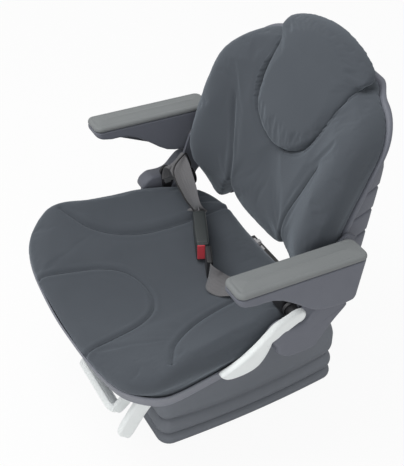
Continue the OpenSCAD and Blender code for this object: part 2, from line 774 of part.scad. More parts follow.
// Belt webbing: from the tongue across the cushion to the retractor
web_stops = [[in_buckle(buckle_l / 2 + grip_l + 14.5, web_y) + [0, 0, 6], buckle_up],
    [in_buckle(buckle_l / 2 + grip_l + 22, web_y) + [0, 0, 6], [0.1, 0.25, 1]],
    [[76, -38, 315], [0, 0.8, 0.6]], [[96, -24, 313], [0, 1, 0.25]], [[120, -4, 319], [0, 1, 0.08]],
    [[146, 18, 331], [0, 1, 0.03]], [[168, 34, 343], [0, 1, 0]],
    [[188, 41, reel_slot_z], [0, 1, 0]], [[206, 41, reel_slot_z], [0, 1, 0]]];

module belt_webbing() {
    color([0.2, 0.2, 0.21]) strap(web_stops, web_w, web_t);
}

// Switch wire of the buckle: its route up the strap's edge and over to the coil
wire_route = [in_buckle(-49.4, -7) + [0, 0, 14], in_buckle(-56, -9) + [0, 0, 15],
    [-128, 6, 363], [-146, 4, 375], [-160, 3, 384],
    [-176, 4, 393], [-190, 9, 401], [-200, 20, 408], [-206, 36, 416], [-209, 47, 420],
    [-213, 54, 412],
    [-216, 60, 398], [-217, 64, 385], [-217, 64, 371.2]];
coil_r = 19;
coil_mid = [-217, 64, 352];
coil_h = 13;

function route_dir(p, i) = let (d = p[min(len(p) - 1, i + 1)] - p[max(0, i - 1)]) d / norm(d);

module switch_wire() {
    rings = [for (i = [0:len(wire_route) - 1]) let (
        d = route_dir(wire_route, i), u = let (q = cross(d, [0, 1, 0.2])) q / norm(q), v = cross(d, u))
        [for (k = [0:7]) wire_route[i] + (u * cos(45 * k) + v * sin(45 * k)) * wire_d / 2]];
    color([0.05, 0.05, 0.05]) loft(rings);
}

module wire_coil() {
    color([0.05, 0.05, 0.05]) translate(coil_mid) rotate([90, 0, 0]) translate([0, 0, -coil_h / 2])
        rotate_extrude() polygon([[coil_r - 8, 0], [coil_r, 0], [coil_r, coil_h], [coil_r - 8, coil_h]]);
}

module wire_plug() {
    color([0.06, 0.06, 0.06]) translate(coil_mid + [12, -coil_h / 2 - 6.1, 4])
        box([-7, -6, -13], [7, 6, 13]);
}

module coil_tie() {
    color([0.04, 0.04, 0.04]) difference() {
        translate(coil_mid)
            box([-coil_r - 1.5, -coil_h / 2 - 1.5, -3], [-coil_r + 9.5, coil_h / 2 + 1.5, 3]);
        translate(coil_mid)
            box([-coil_r - 0.2, -coil_h / 2 - 0.2, -4], [-coil_r + 8.4, coil_h / 2 + 0.2, 4]);
    }
}

// Backrest front surface, by place across and height
function back_line(z) = z < 400 ? 97 + 0.08 * (400 - z)
    : 103 + 0.30 * (z - 420) + 2.0e-6 * pow(z - 420, 3);
function back_front(x, z) = let (
    ax = abs(x) * 468 / back_w,
    dish = 18 * pow(min(ax, 110) / 110, 2),
    rise = back_bolster * smooth((ax - 108) / 100) * (1 - 0.55 * smooth((z - 640) / 60)),
    low = smooth((z - 320) / 140))
    back_line(z) - (dish + rise) * low;
// Line where the cushion's side meets the shell
function back_rim(x, z) = let (t = max(0, z - 478)) 134 + 0.32 * t + 0.0009 * t * t
    + 26 * smooth((z - 590) / 110) * (1 - smooth((abs(x) - 110) / 60));
// Plane of the recess that the head extension slides in
head_foot = [172, 540];
function head_plane(z) = head_foot[0] + (z - head_foot[1]) * tan(head_a);

back_half = [[0, 345], [56, 350], [86, 366], [98, 400], [118, 384], [150, 330], [172, 312], [200, 318],
    [216, 360], [222, 420], [232, 480], [235, 540], [234, 600], [228, 636], [212, 662], [186, 682],
    [150, 694], [100, 699], [0, 702]];
back_k = back_w / 468;
back_outline = spread(concat([for (p = back_half) [p[0] * back_k, p[1]]],
    [for (i = [len(back_half) - 2:-1:1]) [-back_half[i][0] * back_k, back_half[i][1]]]), 72);
back_mid = [0, 596];

// A pad in the X-Z plane, drawn from its rear at +Y to its front; stops are
// [scale, depth], where depth 0 is the rear surface and 1 the front
function pad_ring(o, mid, t, k, rear, front) = [for (p = ring_at(o, mid, t))
    let (q = mid + (p - mid) * min(t, 0.97) / t) [p[0], mix(rear(p[0], p[1]), front(q[0], q[1]), k), p[1]]];

back_rear = function (x, z) back_rim(x, z);
back_face = function (x, z) back_front(x, z);

// Outline of the head extension, a U that widens to its top corners
head_half = [[0, 536], [30, 540], [58, 552], [82, 572], [99, 598], [109, 628], [114, 662], [117, 686],
    [124, 700], [135, 709], [135, 719], [126, 730], [95, 743], [55, 753], [0, 758]];
head_k = head_w / 270;
head_outline = spread(concat([for (p = head_half) [p[0] * head_k, p[1]]],
    [for (i = [len(head_half) - 2:-1:1]) [-head_half[i][0] * head_k, head_half[i][1]]]), 56);
head_mid = [0, 650];
head_gap = 2.5;

// Slanted prism along Y over an outline in X-Z, between two sloping planes
module slab(o, y_low, y_high) {
    a = [for (p = o) [p[0], y_high(p[1]), p[1]]];
    b = [for (p = o) [p[0], y_low(p[1]), p[1]]];
    loft([a, b]);
}

module back_cushion() {
    stops = [[0.985, 0], [1, 0.1], [1, 0.55], [0.985, 0.78], [0.955, 0.92], [0.9, 1], [0.78, 1], [0.62, 1],
        [0.45, 1], [0.28, 1], [0.1, 1]];
    deep = [for (s = back_levels) [for (p = ring_at(back_outline, back_mid, 0.98 * s[0]))
        [p[0], shell_rear(p, s[1]) - shell_wall - 4, p[1]]]];
    ledge = [for (p = ring_at(back_outline, back_mid, 0.98 * back_levels[6][0]))
        [p[0], back_rim(p[0], p[1]), p[1]]];
    color([0.31, 0.33, 0.36]) difference() {
        loft(concat(deep, [ledge],
            [for (s = stops) pad_ring(back_outline, back_mid, s[0], s[1], back_rear, back_face)]));
        slab([for (p = head_outline) [p[0] + sign(p[0]) * (p[1] > 660 ? 3.4 : 1) * head_gap,
            p[1] > 700 ? 790 : p[1] - head_gap]],
            function (z) head_plane(z) - 90, function (z) head_plane(z));
        for (s = [-1, 1]) slab([[s * rod_x - groove, 546], [s * rod_x + groove, 546],
            [s * rod_x + groove, 790], [s * rod_x - groove, 790]],
            function (z) head_plane(z) - 5,
            function (z) head_plane(z) + rod_back + sleeve_r / cos(head_a) - 0.1);
    }
}

shell_wall = 5;
// Levels of the shell, as [scale of the outline, depth behind the rim]
back_levels = [[0.1, 48], [0.3, 48], [0.45, 48], [0.55, 48], [0.64, 48], [0.73, 42], [0.82, 28]];

function shell_rear(p, depth) = back_rim(p[0], p[1]) + depth * (0.4 + 0.6 * smooth((p[1] - 400) / 90));

module back_shell() {
    o = back_outline;
    function rear(t, depth, off) = [for (p = ring_at(o, back_mid, t))
        [p[0], shell_rear(p, depth) - off, p[1]]];
    function rim(t, off) = [for (p = ring_at(o, back_mid, t)) [p[0], back_rim(p[0], p[1]) + off, p[1]]];
    color([0.36, 0.37, 0.4]) loft(concat([for (s = back_levels) rear(s[0], s[1], 0)],
        [rim(0.9, 13), rim(0.995, 12), rim(1.012, 9), rim(1.012, 2), rim(0.99, fit), rim(0.83, fit)],
        [for (i = [len(back_levels) - 1:-1:0])
            rear(back_levels[i][0] * 0.99, back_levels[i][1], shell_wall)]));
}

// Rear cover: ribbed housing over the lower half of the shell, with a plain top
cover_side = 224;
cover_rear = 206;
cover_groove = 3;

module rear_cover() {
    inner = [[152, 50.5], [172, 44.5], [193, 30.5], [212, 17], [cover_side, 14.5]];
    function level(z, out) = let (far = 211 + 0.165 * (z - 404) - out, side = cover_rear - out,
        near = [for (q = inner) [q[0] - (q[0] > 200 ? out : 0), back_rim(q[0], z) + q[1]]],
        other = [for (i = [len(near) - 1:-1:0]) [-near[i][0], near[i][1]]])
        [for (q = concat([[side - 46, far], [0, far + 3], [46 - side, far], [-side, far - 3]], other,
            [[0, back_rim(0, z) + inner[0][1]]], near, [[side, far - 3]])) [q[0], q[1], z]];
    rib = [[0, 1], [2, 0], [42, 0], [44, cover_groove], [47, cover_groove]];
    ribs = [for (k = [0:2]) for (q = rib)
        [394 + 48.5 * k + q[0], q[1]]];
    color([0.33, 0.34, 0.37])
        loft([for (r = concat(ribs, [[541.5, 0], [575, 1], [594, 5]])) level(r[0], r[1])]);
}

// Back bracket: steel arm from the recline pin to the shell and the armrest pin
module back_bracket() {
    difference() {
        union() {
            side_plate(back_plate_in, back_plate_t) union() {
                translate([hip_y, hip_z]) circle(r = 22);
                polygon([[hip_y - 20, hip_z + 8], [hip_y + 20, hip_z - 10],
                    [arm_pivot_y + 26, arm_pivot_z - 8],
                    [158, 474], [138, 486], [arm_pivot_y - 20, arm_pivot_z + 12]]);
                translate([arm_pivot_y, arm_pivot_z]) circle(r = 22);
            }
            pin_x(back_edge_w - 8, back_plate_in + 1, 147, 464, 9);
        }
        pin_x(back_plate_in - cut, back_plate_in + back_plate_t + cut, hip_y, hip_z, hip_pin_d / 2 + run);
        pin_x(back_plate_in - cut, back_plate_in + back_plate_t + cut, arm_pivot_y, arm_pivot_z,
            arm_pin_d / 2 + run);
    }
}

module left_back_bracket() {
    color([0.42, 0.42, 0.46]) back_bracket();
}

module right_back_bracket() {
    color([0.42, 0.42, 0.46]) mirror([1, 0, 0]) back_bracket();
}

module armrest_pins() {
    color([0.7, 0.7, 0.72]) both_sides() {
        pin_x(back_plate_in + 0.5, arm_inner + 30, arm_pivot_y, arm_pivot_z, arm_pin_d / 2);
        difference() {
            pin_x(back_plate_in + back_plate_t + fit, arm_inner - fit, arm_pivot_y, arm_pivot_z, 15);
            pin_x(back_plate_in, arm_inner, arm_pivot_y, arm_pivot_z, arm_pin_d / 2 - 1);
        }
    }
}

// Along the slide of the head extension, from its foot
module along_head(x, back_by) {
    translate([x, head_foot[0] + back_by, head_foot[1]]) rotate([-head_a, 0, 0]) children();
}

rod_x = 45;
rod_r = 5;
sleeve_r = 7.5;
rod_back = 12;
groove = sleeve_r + 0.1;

module head_sleeves() {
    color([0.12, 0.12, 0.13]) for (s = [-1, 1]) along_head(s * rod_x, rod_back) difference() {
        translate([0, 0, 20]) cylinder(h = 120, r = sleeve_r);
        translate([0, 0, 19]) cylinder(h = 122, r = rod_r + run);
    }
}

module head_rods() {
    color([0.75, 0.76, 0.78]) {
        for (s = [-1, 1]) along_head(s * rod_x, rod_back)
            translate([0, 0, 104 - head_travel]) cylinder(h = head_travel + 100, r = rod_r);
        along_head(0, rod_back) difference() {
            box([-rod_x - 12, fit - rod_back, 186], [rod_x + 12, 9, 198]);
            for (s = [-1, 1]) translate([s * rod_x, 0, 180]) cylinder(h = 30, r = rod_r);
        }
    }
}

module head_pad() {
    head_rear = function (x, z) head_plane(z) - 1;
    head_face = function (x, z) z < 700
        ? back_line(z) - 17 - 8 * (1 - pow(x / 130, 2)) * smooth((z - 536) / 60)
        : back_line(700) - 17 + 0.5 * (z - 700) - 8 * (1 - pow(x / 130, 2));
    stops = [[0.97, 0], [1, 0.08], [1, 0.5], [0.985, 0.78], [0.95, 0.93], [0.88, 1], [0.72, 1], [0.5, 1],
        [0.3, 1], [0.1, 1]];
    color([0.31, 0.33, 0.36])
        loft([for (s = stops) pad_ring(head_outline, head_mid, s[0], s[1], head_rear, head_face)]);
}

// Armrest body: deep behind, thin in front, with a boss bore for its pin
arm_line = [[-129, 489], [-123, 481], [-100, 473], [-66, 470], [-40, 459], [-13, 439], [22, 411], [48, 400],
    [88, 395], [112, 393], [124, 402], [131, 437], [136, 464]];

function arm_seat_z(y) = arm_front_z - pad_h - (y - arm_front_y) * tan(arm_tilt);

module armrest_body() {
    x0 = arm_inner;
    difference() {
        side_plate(x0 + 2, arm_w - 3) polygon(concat(arm_line, [[arm_front_y + arm_l + 2,
            arm_seat_z(arm_front_y + arm_l)], [arm_front_y + 1, arm_seat_z(arm_front_y)]]));
        pin_x(x0 - cut, x0 + 31, arm_pivot_y, arm_pivot_z, arm_pin_d / 2 + run);
    }
}

// Armrest pad: soft moulding over the body
module armrest_pad() {
    function r(m, z) = [for (p = rounded_rect(arm_w / 2 - m, arm_l / 2 - m, 14 - m, 7))
        [p[0] + arm_w / 2, p[1] + arm_l / 2, z]];
    translate([arm_inner, arm_front_y, arm_seat_z(arm_front_y) + fit]) rotate([-arm_tilt, 0, 0])
        loft([r(1, 0), r(0, 1), r(0, pad_h - 5), r(1.6, pad_h - 1.5), r(5, pad_h)]);
}

module left_armrest_body() {
    color([0.4, 0.42, 0.45]) armrest_body();
}

module right_armrest_body() {
    color([0.4, 0.42, 0.45]) mirror([1, 0, 0]) armrest_body();
}

module left_armrest_pad() {
    color([0.5, 0.52, 0.53]) armrest_pad();
}

module right_armrest_pad() {
    color([0.5, 0.52, 0.53]) mirror([1, 0, 0]) armrest_pad();
}

base_frame();
bellows();
suspension_springs();
damper_body();
damper_rod();
bump_stops();
lower_hinge_pin();
outer_scissor();
centre_pins();
upper_glides();
inner_scissor();
lower_glides();
top_frame();
upper_hinge_pin();
lower_rails();
weight_handle();
weight_handle_insert();
handle_pin();
upper_rails();
pan_frame();
seat_pan();
seat_cushion();
left_hip_bracket();
right_hip_bracket();
left_hip_cover();
right_hip_cover();
recline_pins();
slide_lever();
slide_lever_grip();
recline_lever();
lever_pin();
belt_retractor();
belt_webbing();
buckle_strap();
buckle_anchor();
buckle_body();
buckle_button();
belt_tongue();
tongue_grip();
switch_wire();
wire_coil();
wire_plug();
coil_tie();
left_back_bracket();
right_back_bracket();
back_shell();
rear_cover();
back_cushion();
armrest_pins();
head_sleeves();
head_pad();
head_rods();
left_armrest_body();
left_armrest_pad();
right_armrest_body();
right_armrest_pad();
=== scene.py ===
import bpy
import json
import math
import numpy as np
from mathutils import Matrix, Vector
from mathutils.bvhtree import BVHTree


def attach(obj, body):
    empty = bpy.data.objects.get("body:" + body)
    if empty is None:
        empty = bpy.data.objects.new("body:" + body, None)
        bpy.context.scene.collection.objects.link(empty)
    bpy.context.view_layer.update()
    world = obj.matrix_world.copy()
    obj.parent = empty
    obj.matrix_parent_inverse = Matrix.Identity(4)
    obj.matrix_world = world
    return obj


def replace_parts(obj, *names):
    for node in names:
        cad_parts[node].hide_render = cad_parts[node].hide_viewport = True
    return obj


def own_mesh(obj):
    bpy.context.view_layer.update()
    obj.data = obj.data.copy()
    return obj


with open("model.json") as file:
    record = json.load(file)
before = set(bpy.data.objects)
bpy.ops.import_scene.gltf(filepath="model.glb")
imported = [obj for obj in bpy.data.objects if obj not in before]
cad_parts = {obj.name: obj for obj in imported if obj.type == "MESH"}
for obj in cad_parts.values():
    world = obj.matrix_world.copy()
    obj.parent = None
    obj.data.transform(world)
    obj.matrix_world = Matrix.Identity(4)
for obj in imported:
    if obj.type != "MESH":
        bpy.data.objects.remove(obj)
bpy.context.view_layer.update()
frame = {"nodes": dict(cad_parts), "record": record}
print("frame loaded")

# Camera: the photograph's view of the seat, from its front left and above
cameraView = {"azimuth": 61.18, "elevation": 39.11, "distance": 1.88567,
              "target": (0.0, -0.0269, 0.38085), "lens": 73.95}


def addCamera(view):
    a, e = math.radians(view["azimuth"]), math.radians(view["elevation"])
    back = Vector((math.sin(a) * math.cos(e), -math.cos(a) * math.cos(e), math.sin(e)))
    data = bpy.data.cameras.new("camera")
    data.lens = view["lens"]
    obj = bpy.data.objects.new("camera", data)
    obj.location = Vector(view["target"]) + back * view["distance"]
    obj.rotation_euler = (-back).to_track_quat("-Z", "Y").to_euler()
    bpy.context.scene.collection.objects.link(obj)
    bpy.context.scene.camera = obj


addCamera(cameraView)

# Mesh tools. All shapes below are written in millimetres and turned to metres here.


def makeObject(name, verts, faces, body, slotName, smooth=True, uv=None):
    # verts is an array of points, faces a list of arrays of corner numbers, uv one pair for each vertex
    mesh = bpy.data.meshes.new(name)
    mesh.from_pydata((np.asarray(verts, float) / 1000).tolist(), [], [list(map(int, f)) for f in faces])
    mesh.update()
    mesh.polygons.foreach_set("use_smooth", np.full(len(mesh.polygons), smooth))
    if uv is not None:
        loops = np.empty(len(mesh.loops), int)
        mesh.loops.foreach_get("vertex_index", loops)
        layer = mesh.uv_layers.new(name="UVMap")
        layer.data.foreach_set("uv", np.asarray(uv, float)[loops].ravel())
    obj = bpy.data.objects.new(name, mesh)
    bpy.context.scene.collection.objects.link(obj)
    obj.data.materials.append(finishes[slotName])
    if body:
        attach(obj, body)
    return obj


def gridFaces(rows, columns, closed=True):
    # quads between each point of a grid, its right neighbour and the row after
    r, c = np.meshgrid(np.arange(rows - 1), np.arange(columns if closed else columns - 1), indexing="ij")
    n = (c + 1) % columns
    return np.stack([r * columns + c, r * columns + n, (r + 1) * columns + n, (r + 1) * columns + c], -1).reshape(-1, 4)


def loft(name, rings, body, slotName, flip=False, uv=None, smooth=True):
    # rings is rows x columns x 3; the first and last ring are closed with one face each
    rings = np.asarray(rings, float)
    rows, columns = rings.shape[:2]
    faces = list(gridFaces(rows, columns))
    faces.append(np.arange(columns)[::-1])
    faces.append(np.arange(columns) + (rows - 1) * columns)
    if flip:
        faces = [f[::-1] for f in faces]
    return makeObject(name, rings.reshape(-1, 3), faces, body, slotName, smooth, uv)


def smoothStep(t):
    t = np.clip(t, 0, 1)
    return t * t * (3 - 2 * t)


def splineThrough(points, count, closed=True):
    # Catmull-Rom curve through the points, spread evenly by its length
    p = np.asarray(points, float)
    n = len(p)
    if closed:
        q = np.concatenate([p[-1:], p, p[:2]])
        spans = n
    else:
        q = np.concatenate([2 * p[:1] - p[1:2], p, 2 * p[-1:] - p[-2:-1]])
        spans = n - 1
    t = np.linspace(0, 1, 24, endpoint=False)[None, :, None]
    a, b, c, d = (q[i:i + spans, None, :] for i in range(4))
    curve = 0.5 * (2 * b + (c - a) * t + (2 * a - 5 * b + 4 * c - d) * t ** 2 + (3 * b - a - 3 * c + d) * t ** 3)
    curve = curve.reshape(-1, p.shape[1])
    curve = np.concatenate([curve, p[:1] if closed else p[-1:]])
    s = np.concatenate([[0], np.cumsum(np.linalg.norm(np.diff(curve, axis=0), axis=1))])
    want = np.linspace(0, s[-1], count, endpoint=not closed)
    return np.stack([np.interp(want, s, curve[:, k]) for k in range(p.shape[1])], -1)


def mirrored(half):
    # a full outline from its right half, which starts and ends on the middle line
    half = np.asarray(half, float)
    return np.concatenate([half, half[-2:0:-1] * [-1, 1]])


def outwardNormals(outline):
    t = np.roll(outline, -1, 0) - np.roll(outline, 1, 0)
    t /= np.linalg.norm(t, axis=1)[:, None]
    return np.stack([t[:, 1], -t[:, 0]], -1)


def counterClockwise(outline):
    x, y = outline[:, 0], outline[:, 1]
    area = np.sum(x * np.roll(y, -1) - np.roll(x, -1) * y)
    return outline if area > 0 else outline[::-1]


def roundedPlate(name, corners, low, high, radius, place, body, slotName, count=160, rows=6, dome=0.0):
    # an outline swept between two levels, with a quarter circle along both rims.
    # place turns (u, v, level) into x, y, z.
    line = counterClockwise(splineThrough(corners, count))
    n = outwardNormals(line)
    q = np.linspace(0, math.pi / 2, rows)
    inset = np.concatenate([radius * (1 - np.sin(q)), radius * (1 - np.cos(q))])
    level = np.concatenate([low + radius * (1 - np.cos(q)), high - radius * (1 - np.sin(q))])
    rings = line[None] - n[None] * inset[:, None, None]
    rings = np.concatenate([rings, np.broadcast_to(level[:, None, None], rings.shape[:2] + (1,))], -1)
    if dome:
        mid = rings[-1].mean(0)
        f = np.array([0.97, 0.9, 0.78, 0.6, 0.4, 0.2, 0.05])[:, None, None]
        cap = mid + (rings[-1] - mid) * f
        cap[..., 2] = rings[-1][..., 2] + dome * (1 - f[..., 0] ** 2)
        rings = np.concatenate([rings, cap])
    u, v, w = rings[..., 0], rings[..., 1], rings[..., 2]
    pts = np.stack(place(u, v, w), -1)
    flip = np.linalg.det(np.array(place(*np.eye(3)), float) - np.array(place(0.0, 0.0, 0.0), float)[:, None]) < 0
    return loft(name, pts, body, slotName, flip)


def sweep(name, path, side, profile, body, slotName):
    # a closed profile carried along a path; its first axis lies along side, its second along side x path
    path, side = np.asarray(path, float), np.asarray(side, float)
    t = np.gradient(path, axis=0)
    t /= np.linalg.norm(t, axis=1)[:, None]
    side = side - t * np.sum(side * t, 1)[:, None]
    side /= np.linalg.norm(side, axis=1)[:, None]
    up = np.cross(t, side)
    profile = np.asarray(profile, float)
    rings = path[:, None] + side[:, None] * profile[None, :, :1] + up[:, None] * profile[None, :, 1:2]
    run = np.concatenate([[0], np.cumsum(np.linalg.norm(np.diff(path, axis=0), axis=1))]) / 1000
    uv = np.stack([np.broadcast_to(profile[None, :, 0] / 1000, rings.shape[:2]),
                   np.broadcast_to(run[:, None], rings.shape[:2])], -1).reshape(-1, 2)
    return loft(name, rings, body, slotName, uv=uv)


def circle(radius, sides=12):
    q = np.linspace(0, 2 * math.pi, sides, endpoint=False)
    return np.stack([np.cos(q), np.sin(q)], -1) * radius


# Shader groups shared by several finishes


def newGroup(name, inputs, outputs):
    g = bpy.data.node_groups.new(name, "ShaderNodeTree")
    for label, value in inputs:
        socket = g.interface.new_socket(name=label, in_out="INPUT", socket_type="NodeSocketFloat")
        socket.default_value = value
    for label, kind in outputs:
        g.interface.new_socket(name=label, in_out="OUTPUT", socket_type=kind)
    return g, g.nodes.new("NodeGroupInput"), g.nodes.new("NodeGroupOutput")


def mathNode(tree, kind, a, b=None, clamp=False):
    n = tree.nodes.new("ShaderNodeMath")
    n.operation = kind
    n.use_clamp = clamp
    for i, v in enumerate((a, b)):
        if v is None:
            continue
        if isinstance(v, (int, float)):
            n.inputs[i].default_value = v
        else:
            tree.links.new(v, n.inputs[i])
    return n.outputs[0]


def buildWeaveGroup():
    # woven cloth from the piece's own UV map in metres: warp and weft threads and a little fibre noise
    g, gin, gout = newGroup("clothWeave", [("Threads", 900.0), ("Fibre", 0.35)],
                            [("Height", "NodeSocketFloat"), ("Mottle", "NodeSocketFloat")])
    coord = g.nodes.new("ShaderNodeTexCoord")
    split = g.nodes.new("ShaderNodeSeparateXYZ")
    g.links.new(coord.outputs["UV"], split.inputs[0])
    u = mathNode(g, "MULTIPLY", split.outputs[0], gin.outputs["Threads"])
    v = mathNode(g, "MULTIPLY", split.outputs[1], gin.outputs["Threads"])
    warp = mathNode(g, "SINE", mathNode(g, "MULTIPLY", u, 2 * math.pi))
    weft = mathNode(g, "SINE", mathNode(g, "MULTIPLY", v, 2 * math.pi))
    cross = mathNode(g, "MULTIPLY", warp, weft)
    fibre = g.nodes.new("ShaderNodeTexNoise")
    fibre.inputs["Scale"].default_value = 1400.0
    fibre.inputs["Detail"].default_value = 2.0
    g.links.new(coord.outputs["Object"], fibre.inputs["Vector"])
    rough = mathNode(g, "MULTIPLY", fibre.outputs["Fac"], gin.outputs["Fibre"])
    g.links.new(mathNode(g, "ADD", mathNode(g, "MULTIPLY", cross, 0.5), rough), gout.inputs["Height"])
    broad = g.nodes.new("ShaderNodeTexNoise")
    broad.inputs["Scale"].default_value = 9.0
    broad.inputs["Detail"].default_value = 5.0
    g.links.new(coord.outputs["Object"], broad.inputs["Vector"])
    g.links.new(broad.outputs["Fac"], gout.inputs["Mottle"])
    return g


def buildGrainGroup():
    # moulded plastic: a fine leather-like grain of small cells, and a slow change of tone
    g, gin, gout = newGroup("mouldGrain", [("Grain", 700.0), ("Tone", 7.0)],
                            [("Height", "NodeSocketFloat"), ("Mottle", "NodeSocketFloat"),
                             ("Scuff", "NodeSocketFloat")])
    coord = g.nodes.new("ShaderNodeTexCoord")
    cells = g.nodes.new("ShaderNodeTexVoronoi")
    g.links.new(coord.outputs["Object"], cells.inputs["Vector"])
    g.links.new(gin.outputs["Grain"], cells.inputs["Scale"])
    g.links.new(cells.outputs["Distance"], gout.inputs["Height"])
    tone = g.nodes.new("ShaderNodeTexNoise")
    tone.inputs["Detail"].default_value = 4.0
    g.links.new(coord.outputs["Object"], tone.inputs["Vector"])
    g.links.new(gin.outputs["Tone"], tone.inputs["Scale"])
    g.links.new(tone.outputs["Fac"], gout.inputs["Mottle"])
    scuff = g.nodes.new("ShaderNodeTexNoise")
    scuff.inputs["Scale"].default_value = 38.0
    scuff.inputs["Detail"].default_value = 7.0
    g.links.new(coord.outputs["Object"], scuff.inputs["Vector"])
    g.links.new(mathNode(g, "SUBTRACT", scuff.outputs["Fac"], 0.45, clamp=True), gout.inputs["Scuff"])
    return g


weaveGroup = buildWeaveGroup()
grainGroup = buildGrainGroup()


def startMaterial(name):
    m = bpy.data.materials.new(name)
    m.use_nodes = True
    return m, m.node_tree, m.node_tree.nodes["Principled BSDF"]


def useGroup(tree, group, values):
    n = tree.nodes.new("ShaderNodeGroup")
    n.node_tree = group
    for label, value in values.items():
        n.inputs[label].default_value = value
    return n


def mixColours(tree, factor, a, b):
    n = tree.nodes.new("ShaderNodeMix")
    n.data_type = "RGBA"
    tree.links.new(factor, n.inputs["Factor"])
    n.inputs["A"].default_value = (*a, 1)
    n.inputs["B"].default_value = (*b, 1)
    return n.outputs["Result"]


def bumpFrom(tree, height, strength, depth):
    n = tree.nodes.new("ShaderNodeBump")
    n.inputs["Strength"].default_value = strength
    n.inputs["Distance"].default_value = depth
    tree.links.new(height, n.inputs["Height"])
    return n.outputs["Normal"]


def clothMaterial(name, dark, light, threads, strength, sheen=0.35, roughness=0.9):
    m, tree, shader = startMaterial(name)
    weave = useGroup(tree, weaveGroup, {"Threads": threads, "Fibre": 0.35})
    tree.links.new(mixColours(tree, weave.outputs["Mottle"], dark, light), shader.inputs["Base Color"])
    tree.links.new(bumpFrom(tree, weave.outputs["Height"], strength, 0.0004), shader.inputs["Normal"])
    shader.inputs["Roughness"].default_value = roughness
    shader.inputs["Specular IOR Level"].default_value = 0.25
    shader.inputs["Sheen Weight"].default_value = sheen
    shader.inputs["Sheen Roughness"].default_value = 0.5
    shader.inputs["Sheen Tint"].default_value = (0.75, 0.85, 0.95, 1)
    return m


def plasticMaterial(name, dark, light, grain=700.0, strength=0.2, roughness=0.5, metallic=0.0, specular=0.4):
    m, tree, shader = startMaterial(name)
    mould = useGroup(tree, grainGroup, {"Grain": grain, "Tone": 7.0})
    tree.links.new(mixColours(tree, mould.outputs["Mottle"], dark, light), shader.inputs["Base Color"])
    tree.links.new(bumpFrom(tree, mould.outputs["Height"], strength, 0.0003), shader.inputs["Normal"])
    tree.links.new(mathNode(tree, "ADD", mathNode(tree, "MULTIPLY", mould.outputs["Scuff"], 0.35), roughness),
                   shader.inputs["Roughness"])
    shader.inputs["Metallic"].default_value = metallic
    shader.inputs["Specular IOR Level"].default_value = specular
    return m


finishes = {
    "seat_fabric": clothMaterial("seatFabric", (0.06, 0.068, 0.08), (0.078, 0.088, 0.102), 700.0, 0.35),
    "webbing": clothMaterial("beltWebbing", (0.13, 0.13, 0.135), (0.19, 0.185, 0.19), 420.0, 0.8, 0.15),
    "grey_plastic": plasticMaterial("shellPlastic", (0.134, 0.142, 0.17), (0.164, 0.173, 0.205)),
    "pan_plastic": plasticMaterial("panPlastic", (0.19, 0.2, 0.235), (0.225, 0.235, 0.27)),
    "armrest_foam": plasticMaterial("armrestFoam", (0.185, 0.197, 0.2), (0.225, 0.238, 0.24), 520.0, 0.3, 0.55),
    "bellows_rubber": plasticMaterial("bellowsRubber", (0.152, 0.165, 0.188), (0.19, 0.205, 0.23), 900.0, 0.12, 0.6),
    "light_plastic": plasticMaterial("leverPlastic", (0.9, 0.94, 0.935), (0.94, 0.97, 0.965), 900.0, 0.08, 0.4),
    "black_plastic": plasticMaterial("blackPlastic", (0.014, 0.014, 0.016), (0.024, 0.024, 0.026), 800.0, 0.12, 0.42),
    "buckle_plastic": plasticMaterial("bucklePlastic", (0.026, 0.031, 0.032), (0.04, 0.046, 0.047), 800.0, 0.1, 0.35),
    "red_plastic": plasticMaterial("buttonPlastic", (0.62, 0.055, 0.075), (0.7, 0.08, 0.1), 900.0, 0.05, 0.3),
    "wire_rubber": plasticMaterial("wireRubber", (0.012, 0.012, 0.013), (0.02, 0.02, 0.021), 900.0, 0.1, 0.45),
    "black_rubber": plasticMaterial("bumperRubber", (0.015, 0.015, 0.015), (0.028, 0.028, 0.028), 500.0, 0.25, 0.75),
    "glide_plastic": plasticMaterial("glideNylon", (0.62, 0.6, 0.54), (0.7, 0.68, 0.63), 900.0, 0.05, 0.45),
    "black_steel": plasticMaterial("blackSteel", (0.018, 0.018, 0.02), (0.03, 0.03, 0.033), 260.0, 0.08, 0.4),
    "rail_steel": plasticMaterial("zincSteel", (0.4, 0.4, 0.41), (0.52, 0.52, 0.53), 160.0, 0.05, 0.36, 0.9),
    "bright_steel": plasticMaterial("brightSteel", (0.55, 0.55, 0.56), (0.63, 0.63, 0.64), 300.0, 0.03, 0.28, 1.0),
}
threadMaterial = clothMaterial("sewingThread", (0.05, 0.056, 0.066), (0.07, 0.078, 0.09), 1500.0, 0.5, 0.3)
finishes["thread"] = threadMaterial

for part in frame["record"]["subparts"]:
    mesh = frame["nodes"][part["node"]].data
    mesh.materials.clear()
    mesh.materials.append(finishes[part["material_slot"]])
print("finishes made")

# Seat surface, the same formulas as the part's source

seatSizes = {"surface": 288.0, "bolster": 50.0, "rim": 290.0, "pan": 246.0}
seatHalf = [(0, -343), (90, -339), (160, -331), (215, -316), (250, -290), (272, -258), (276, -225),
            (270, -165), (263, -110), (256, -50), (241, 5), (224, 45), (198, 80), (160, 102), (110, 112), (0, 112)]
seatMid = np.array([0.0, -110.0])


def seatTop(x, y):
    # a shallow bowl along the seat, plus the square of the distance from its middle line
    front = smoothStep((-y - 200) / 150)
    along = np.where(y < -140, 14 * ((y + 140) / 200) ** 2, 16 * ((y + 140) / 250) ** 2)
    return seatSizes["surface"] + along + seatSizes["bolster"] * 0.36 * (x / 140) ** 2 * (1 - 0.4 * front)


def ringsAround(line, mid, scales):
    return mid + (line[None] - mid) * np.asarray(scales, float)[:, None, None]


def smoothStops(stops, count):
    # a fine list of (scale, depth) pairs along a smooth curve through the given ones
    return splineThrough(stops, count, closed=False)


